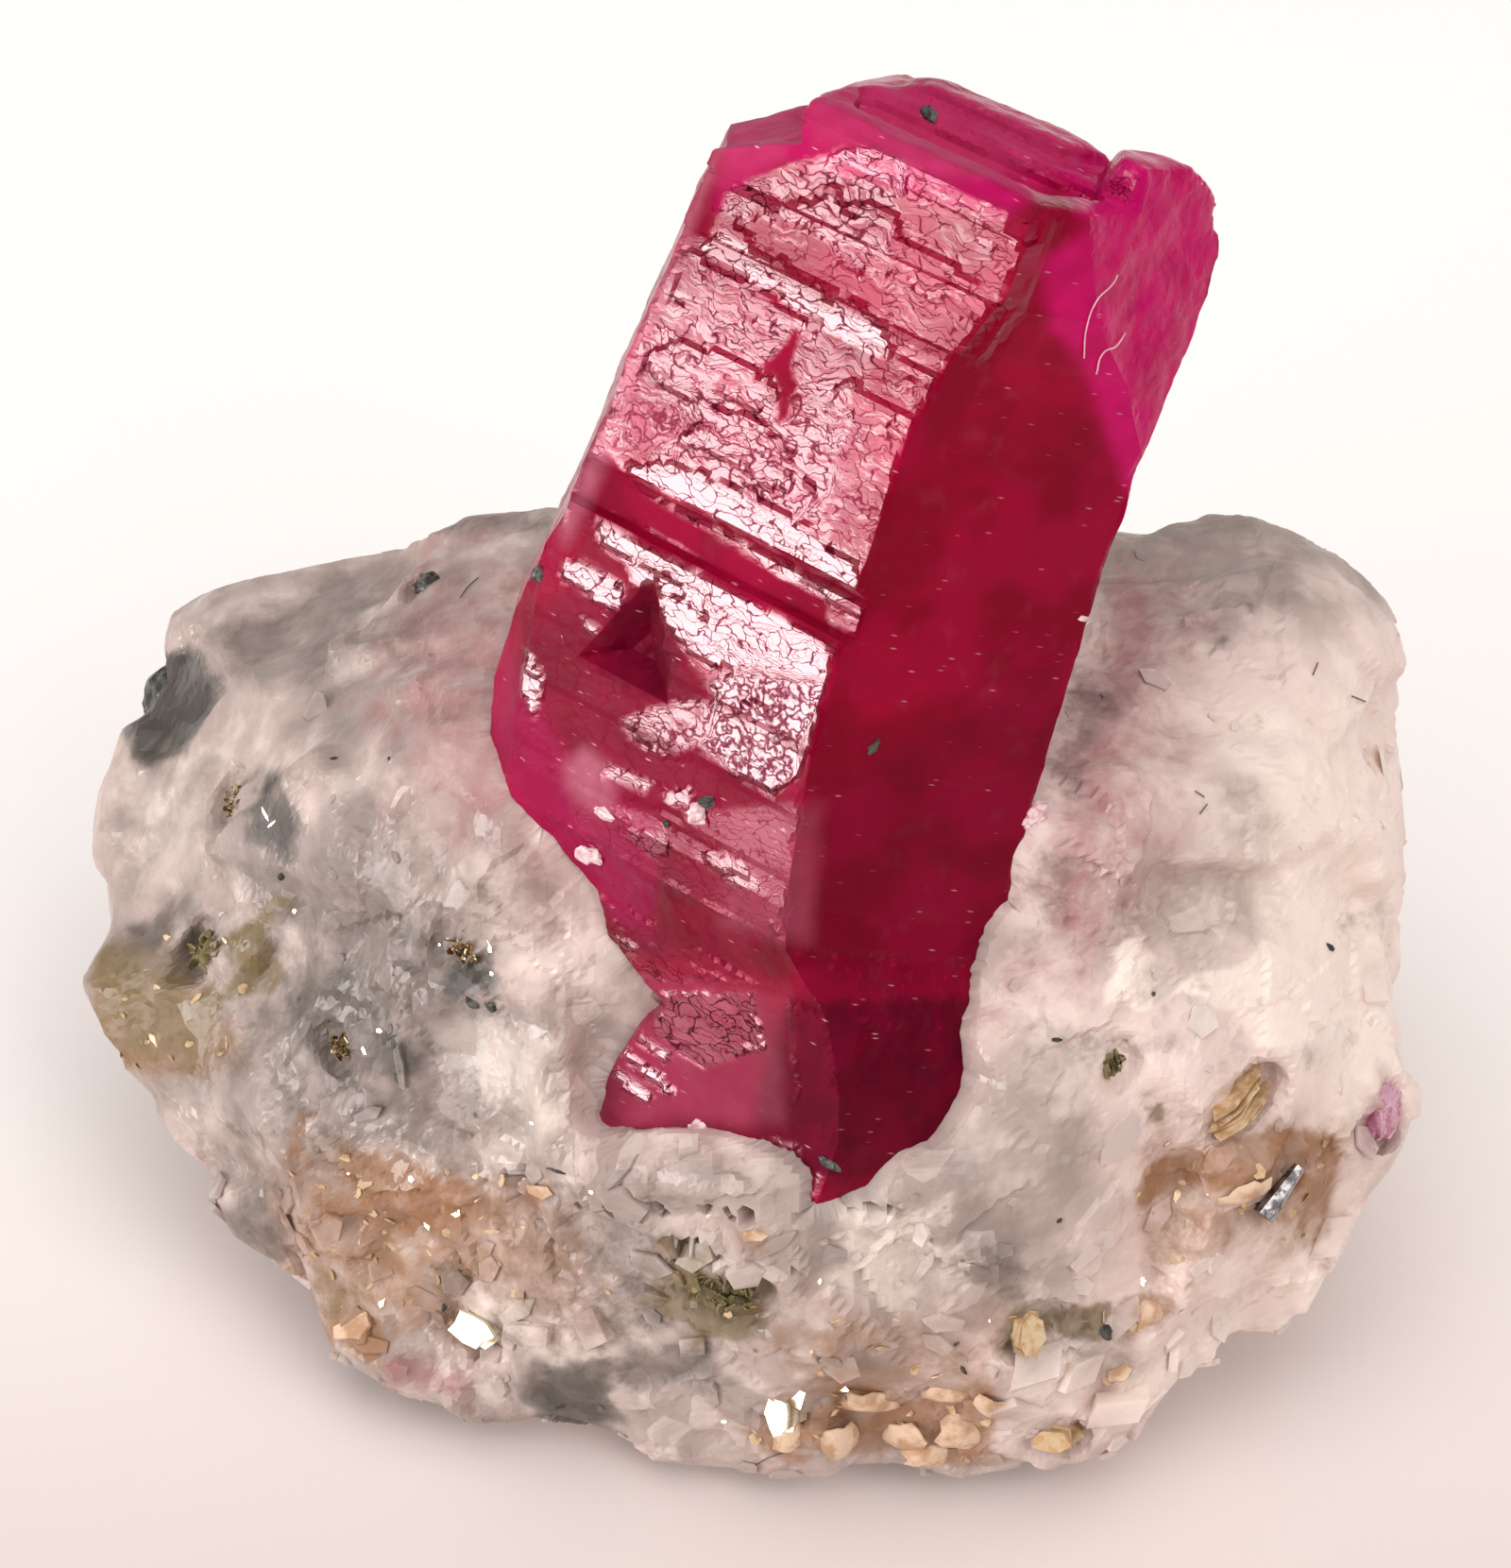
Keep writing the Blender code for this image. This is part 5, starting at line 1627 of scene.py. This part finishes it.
# %% Laid pieces
CLEAVAGE_SKEW = 0.27
LAID = {
    # kind: x, y in the picture, across, along and thick in mm, roll in degrees,
    # how far it turns from the skin towards the flash, and for a shell its bend in mm
    "pale": [
        ("plate", 336, 751, (0.62, 0.52, 0.14), 40, 0.3),
        ("plate", 425, 1132, (0.16, 0.85, 0.16), 8, 0.2),
        ("plate", 392, 1178, (0.75, 0.22, 0.14), 25, 0.3),
        ("plate", 1042, 1345, (0.55, 1.1, 0.10), 14, 0.0),
        ("block", 1143, 1455, (1.0, 0.8, 0.8), -5, 0.1),
        ("block", 1098, 1448, (1.3, 0.9, 0.8), 20, 0.0),
        ("block", 1075, 1492, (1.1, 0.8, 0.7), -30, 0.0),
        ("block", 1185, 1492, (1.4, 0.9, 0.9), 12, 0.0),
        ("block", 1252, 1468, (1.2, 0.9, 0.8), -18, 0.0),
        ("block", 1325, 1425, (1.3, 0.8, 0.9), 33, 0.0),
        ("block", 1396, 1368, (1.0, 1.1, 0.8), 15, 0.0),
        ("block", 1405, 1312, (0.9, 1.2, 0.8), -8, 0.0),
        ("block", 560, 1412, (1.5, 0.7, 0.6), 12, 0.0),
        ("block", 630, 1408, (0.8, 1.0, 0.7), 35, 0.0),
        ("block", 684, 1375, (0.7, 0.9, 0.6), -15, 0.0),
        ("block", 735, 1425, (0.7, 0.6, 0.5), 22, 0.0),
        ("block", 405, 1345, (0.7, 0.5, 0.4), 30, 0.0),
        ("block", 1455, 1050, (0.8, 0.9, 0.5), 10, 0.0),
        ("block", 730, 1215, (0.5, 0.5, 0.4), 10, 0.0),
    ],
    "tan": [
        ("plate", 800, 1307, (0.42, 0.24, 0.12), 12, 0.0),
        ("plate", 1186, 1453, (0.50, 0.32, 0.14), 10, 0.0),
        ("plate", 572, 1262, (0.50, 0.30, 0.12), -12, 0.0),
        ("plate", 372, 1408, (0.90, 0.50, 0.10), -8, 0.0),
        ("shell", 1011, 1474, (1.1, 0.42, 0.05), 4, 0.1, 0.25),
        ("shell", 922, 1484, (1.1, 0.50, 0.05), -14, 0.1, 0.25),
        ("shell", 885, 1528, (0.70, 0.95, 0.05), 20, 0.2, 0.35),
        ("shell", 955, 1520, (1.00, 0.70, 0.05), 8, 0.0, 0.30),
        ("shell", 1020, 1516, (0.95, 0.75, 0.05), -20, 0.0, 0.30),
        ("shell", 1052, 1492, (0.55, 0.90, 0.05), 15, 0.0, 0.25),
        ("shell", 985, 1540, (0.95, 0.45, 0.05), 10, 0.0, 0.25),
        ("shell", 835, 1520, (0.45, 0.70, 0.05), -20, 0.0, 0.25),
        ("shell", 1218, 1388, (0.55, 0.45, 0.05), 30, 0.0, 0.25),
        ("shell", 1320, 1262, (0.80, 0.45, 0.05), 25, 0.0, 0.25),
    ],
    "flash": [
        ("plate", 843, 1478, (0.46, 0.40, 0.05), 20, 1.0), ("plate", 312, 964, (0.11, 0.09, 0.03), 0, 1.0),
        ("plate", 436, 1248, (0.14, 0.11, 0.03), 0, 1.0), ("plate", 483, 1284, (0.24, 0.17, 0.03), 40, 1.0),
        ("plate", 453, 1297, (0.14, 0.17, 0.03), 0, 1.0), ("plate", 369, 1242, (0.06, 0.06, 0.02), 0, 1.0),
        ("plate", 626, 1262, (0.09, 0.06, 0.02), 0, 1.0), ("plate", 563, 1189, (0.07, 0.06, 0.02), 0, 1.0),
        ("plate", 868, 1356, (0.10, 0.12, 0.02), 0, 1.0), ("plate", 1208, 1356, (0.20, 0.17, 0.03), 0, 1.0),
        ("plate", 893, 1470, (0.20, 0.12, 0.03), 0, 1.0), ("plate", 766, 1504, (0.12, 0.10, 0.03), 0, 1.0),
        ("plate", 465, 1000, (0.08, 0.06, 0.02), 0, 1.0), ("plate", 521, 1031, (0.08, 0.08, 0.02), 0, 1.0),
        ("plate", 518, 1003, (0.10, 0.22, 0.03), 20, 1.0), ("plate", 402, 1092, (0.16, 0.14, 0.03), 0, 1.0),
        ("plate", 386, 1112, (0.08, 0.20, 0.03), 30, 1.0), ("plate", 281, 862, (0.05, 0.30, 0.02), 30, 0.9),
        ("plate", 288, 872, (0.22, 0.04, 0.02), 40, 0.9), ("plate", 1048, 1398, (0.05, 0.05, 0.02), 0, 1.0),
    ],
}


def add_laid(bm, spec, rng):
    kind, x, y, size, roll, lean = spec[:6]
    place, normal = skin_at(x, y)
    if place is None:
        print("no skin under", kind, x, y)
        return
    out = normal.lerp(FLASH, lean).normalized()
    turn = facing_turn(out, ACROSS, math.radians(roll))
    size = [length * MM for length in size]
    if kind == "block":
        sunk = place - normal * 0.25 * size[2]
        add_block(bm, sunk, tilted(turn, rng, 12.0), Vector(size), CLEAVAGE_SKEW)
    elif kind == "shell":
        lift = normal * (size[2] + 0.5 * spec[6] * MM)
        add_shell(bm, place + lift, tilted(turn, rng, 14.0), size, spec[6] * MM, rng)
    else:
        add_plate(bm, place + normal * 0.3 * size[2], turn, size, 5, rng)


def copy_stains(piece):
    """Give a piece of marble the stains of the skin right under it."""
    skin = points_of(marble.data)
    finder = KDTree(len(skin))
    for number, place in enumerate(skin):
        finder.insert(place, number)
    finder.balance()
    under = [finder.find(v.co)[1] for v in piece.data.vertices]
    # the painted shade veil and its mottle are copied along with the stains
    for name in [*STAINS, "shade_veil", "fresh", "cloud", "shade_veil_mottle"]:
        keep_value(piece.data, name, read_value(marble.data, name)[under])


def lay(name, material, slot):
    bm = bmesh.new()
    rng = rng_for(name)
    for spec in LAID[name]:
        add_laid(bm, spec, rng)
    bmesh.ops.recalc_face_normals(bm, faces=bm.faces)
    piece = from_bmesh("laid_" + name, bm)
    if material is marble_finish:
        copy_stains(piece)
    finish_with(piece, material)
    small_pieces.append((piece, None, slot))
    print("laid", name, len(LAID[name]))


def speck_material(name, pale, deep, roughness, clump_mm=0.25):
    made, tree, shader, _ = new_material(name)
    cloud = remap(tree, noise_at(tree, object_place(tree), clump_mm, 4.0), 0.4, 0.62)
    tree.links.new(mix_colour(tree, cloud, pale, deep), shader.inputs["Base Color"])
    shader.inputs["Roughness"].default_value = roughness
    return made


rusty_calcite = speck_material("rusty_calcite", (0.74, 0.53, 0.38, 1.0), (0.48, 0.28, 0.16, 1.0), 0.30, 0.6)
lay("pale", marble_finish, "marble")
lay("tan", rusty_calcite, "marble")
lay("flash", bright_mica, "mica")

# %% [markdown]
# ## Crumbs on the crystal
#
# A few grains of calcite and sulphide stuck to the crystal when the stone was broken
# off it, and two dust fibres lie on its right face. Each crumb is set where it shows.

# %% Crumbs and fibres
CRUMBS = [  # x, y in the picture, sizes in mm, which finish
    (740, 862, (0.26, 0.26, 0.16), "calcite"), (749, 849, (0.16, 0.22, 0.16), "dark"),
    (622, 905, (0.44, 0.26, 0.16), "calcite"), (706, 872, (0.10, 0.10, 0.08), "dark"),
    (985, 121, (0.16, 0.32, 0.10), "dark"), (570, 608, (0.17, 0.24, 0.17), "dark"),
    (925, 791, (0.20, 0.12, 0.06), "dark"), (1095, 862, (0.28, 0.40, 0.2), "calcite"),
    (737, 1200, (0.36, 0.30, 0.22), "calcite"), (878, 1232, (0.30, 0.12, 0.12), "dark"),
    (1147, 655, (0.08, 0.14, 0.06), "calcite"), (640, 862, (0.34, 0.16, 0.10), "calcite"),
    (1408, 1003, (0.10, 0.16, 0.08), "dark"), (1221, 1052, (0.07, 0.07, 0.05), "dark"),
    (1119, 1101, (0.06, 0.14, 0.05), "dark"), (1012, 1423, (0.10, 0.05, 0.05), "dark"),
    (1020, 1450, (0.16, 0.05, 0.05), "dark"), (1171, 1410, (0.18, 0.26, 0.10), "dark"),
    (1122, 1292, (0.05, 0.08, 0.04), "dark"), (298, 928, (0.12, 0.10, 0.08), "dark"),
    (500, 1062, (0.22, 0.12, 0.10), "dark"), (520, 1066, (0.14, 0.16, 0.10), "dark"),
    (266, 1330, (0.07, 0.34, 0.07), "dark"), (470, 1385, (0.16, 0.07, 0.06), "dark"),
    (590, 1240, (0.34, 0.04, 0.05), "dark"),
    (353, 803, (0.05, 0.12, 0.04), "dark"), (412, 803, (0.05, 0.05, 0.04), "dark"),
]
FIBRES = [  # places in the picture that a fibre runs through
    [(1147, 378), (1150, 345), (1160, 318), (1178, 298), (1182, 290)],
    [(1160, 395), (1168, 372), (1180, 366), (1190, 352)],
]
NEEDLES = [
    [(1389, 715), (1394, 702)], [(1430, 737), (1444, 743)], [(800, 1550), (814, 1542), (830, 1536)],
    [(488, 634), (497, 622), (507, 613)], [(1270, 862), (1278, 852)], [(1265, 838), (1275, 845)],
]
FIBRE_RADIUS = 0.018 * MM
FIBRE_LIFT = 0.05 * MM


def on_stone(x, y):
    """Place and normal of whatever shows there, the crystal first."""
    place, normal, _, _ = ruby_tree.ray_cast(EYE, sight(x, y))
    if place is None:
        place, normal = skin_at(x, y)
    return place, normal


def add_crumb(bm, x, y, half, seed):
    place, normal = on_stone(x, y)
    if place is None:
        print("nothing under the crumb at", x, y)
        return
    turn = facing_turn(normal, ACROSS, seed)
    made = bmesh.ops.create_icosphere(bm, subdivisions=3, radius=1.0)["verts"]
    for vertex in made:
        spot = vertex.co.copy()
        swell = 1.0 + 0.45 * noise.fractal(spot * 1.4 + Vector((seed, 0.0, 0.0)), 1.0, 2.0, 3)
        vertex.co = place + turn @ Vector([c * h * MM * swell for c, h in zip(spot, half)])


def add_crumbs(finish_name, material, slot):
    bm = bmesh.new()
    for number, (x, y, half, kind) in enumerate(CRUMBS):
        if kind == finish_name:
            add_crumb(bm, x, y, half, 1.7 * number)
    piece = from_bmesh("crumbs_" + finish_name, bm)
    finish_with(piece, material)
    small_pieces.append((piece, None, slot))


def add_fibres(name, routes, material, slot):
    curve = bpy.data.curves.new(name, "CURVE")
    curve.dimensions = "3D"
    curve.bevel_depth = FIBRE_RADIUS
    curve.bevel_resolution = 2
    curve.use_fill_caps = True
    for spots in routes:
        line = curve.splines.new("BEZIER")
        line.bezier_points.add(len(spots) - 1)
        for handle, (x, y) in zip(line.bezier_points, spots):
            place, normal = on_stone(x, y)
            handle.co = place + normal * FIBRE_LIFT
            handle.handle_left_type = "AUTO"
            handle.handle_right_type = "AUTO"
    carrier = bpy.data.objects.new(name, curve)
    bpy.context.scene.collection.objects.link(carrier)
    seen_by = bpy.context.evaluated_depsgraph_get()
    piece = add_piece(name, bpy.data.meshes.new_from_object(carrier.evaluated_get(seen_by)))
    bpy.data.objects.remove(carrier)
    finish_with(piece, material)
    small_pieces.append((piece, None, slot))


crumb_calcite = speck_material("crumb_calcite", (0.86, 0.66, 0.66, 1.0), (0.62, 0.34, 0.38, 1.0), 0.4)
add_crumbs("calcite", crumb_calcite, "marble")
add_crumbs("dark", dark, "dark_sulphide")
pale_dust = speck_material("dust_fibre", (0.85, 0.55, 0.62, 1.0), (0.70, 0.40, 0.50, 1.0), 0.7)
add_fibres("dust_fibres", FIBRES, pale_dust, "marble")
add_fibres("dark_needles", NEEDLES, dark, "dark_sulphide")
print("crumbs:", len(CRUMBS), "fibres:", len(FIBRES), "needles:", len(NEEDLES))

# %% Everything rides on the one body


def seat(piece, slot, *nodes):
    """Fix a piece to the body and hide the frame solids that it stands for; slot is not used."""
    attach(piece, "root")
    if nodes:
        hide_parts(*nodes)


seat(ruby, "ruby", "ruby_crystal")
seat(marble, "marble", "marble_matrix")
for small_piece, small_node, small_slot in small_pieces:
    seat(small_piece, small_slot, *filter(None, (small_node,)))
seat(strewn["calcite_plates"], "marble")
seat(strewn["calcite_chips"], "marble")
seat(strewn["front_rubble"], "marble")
seat(strewn["mica_flakes"], "mica")
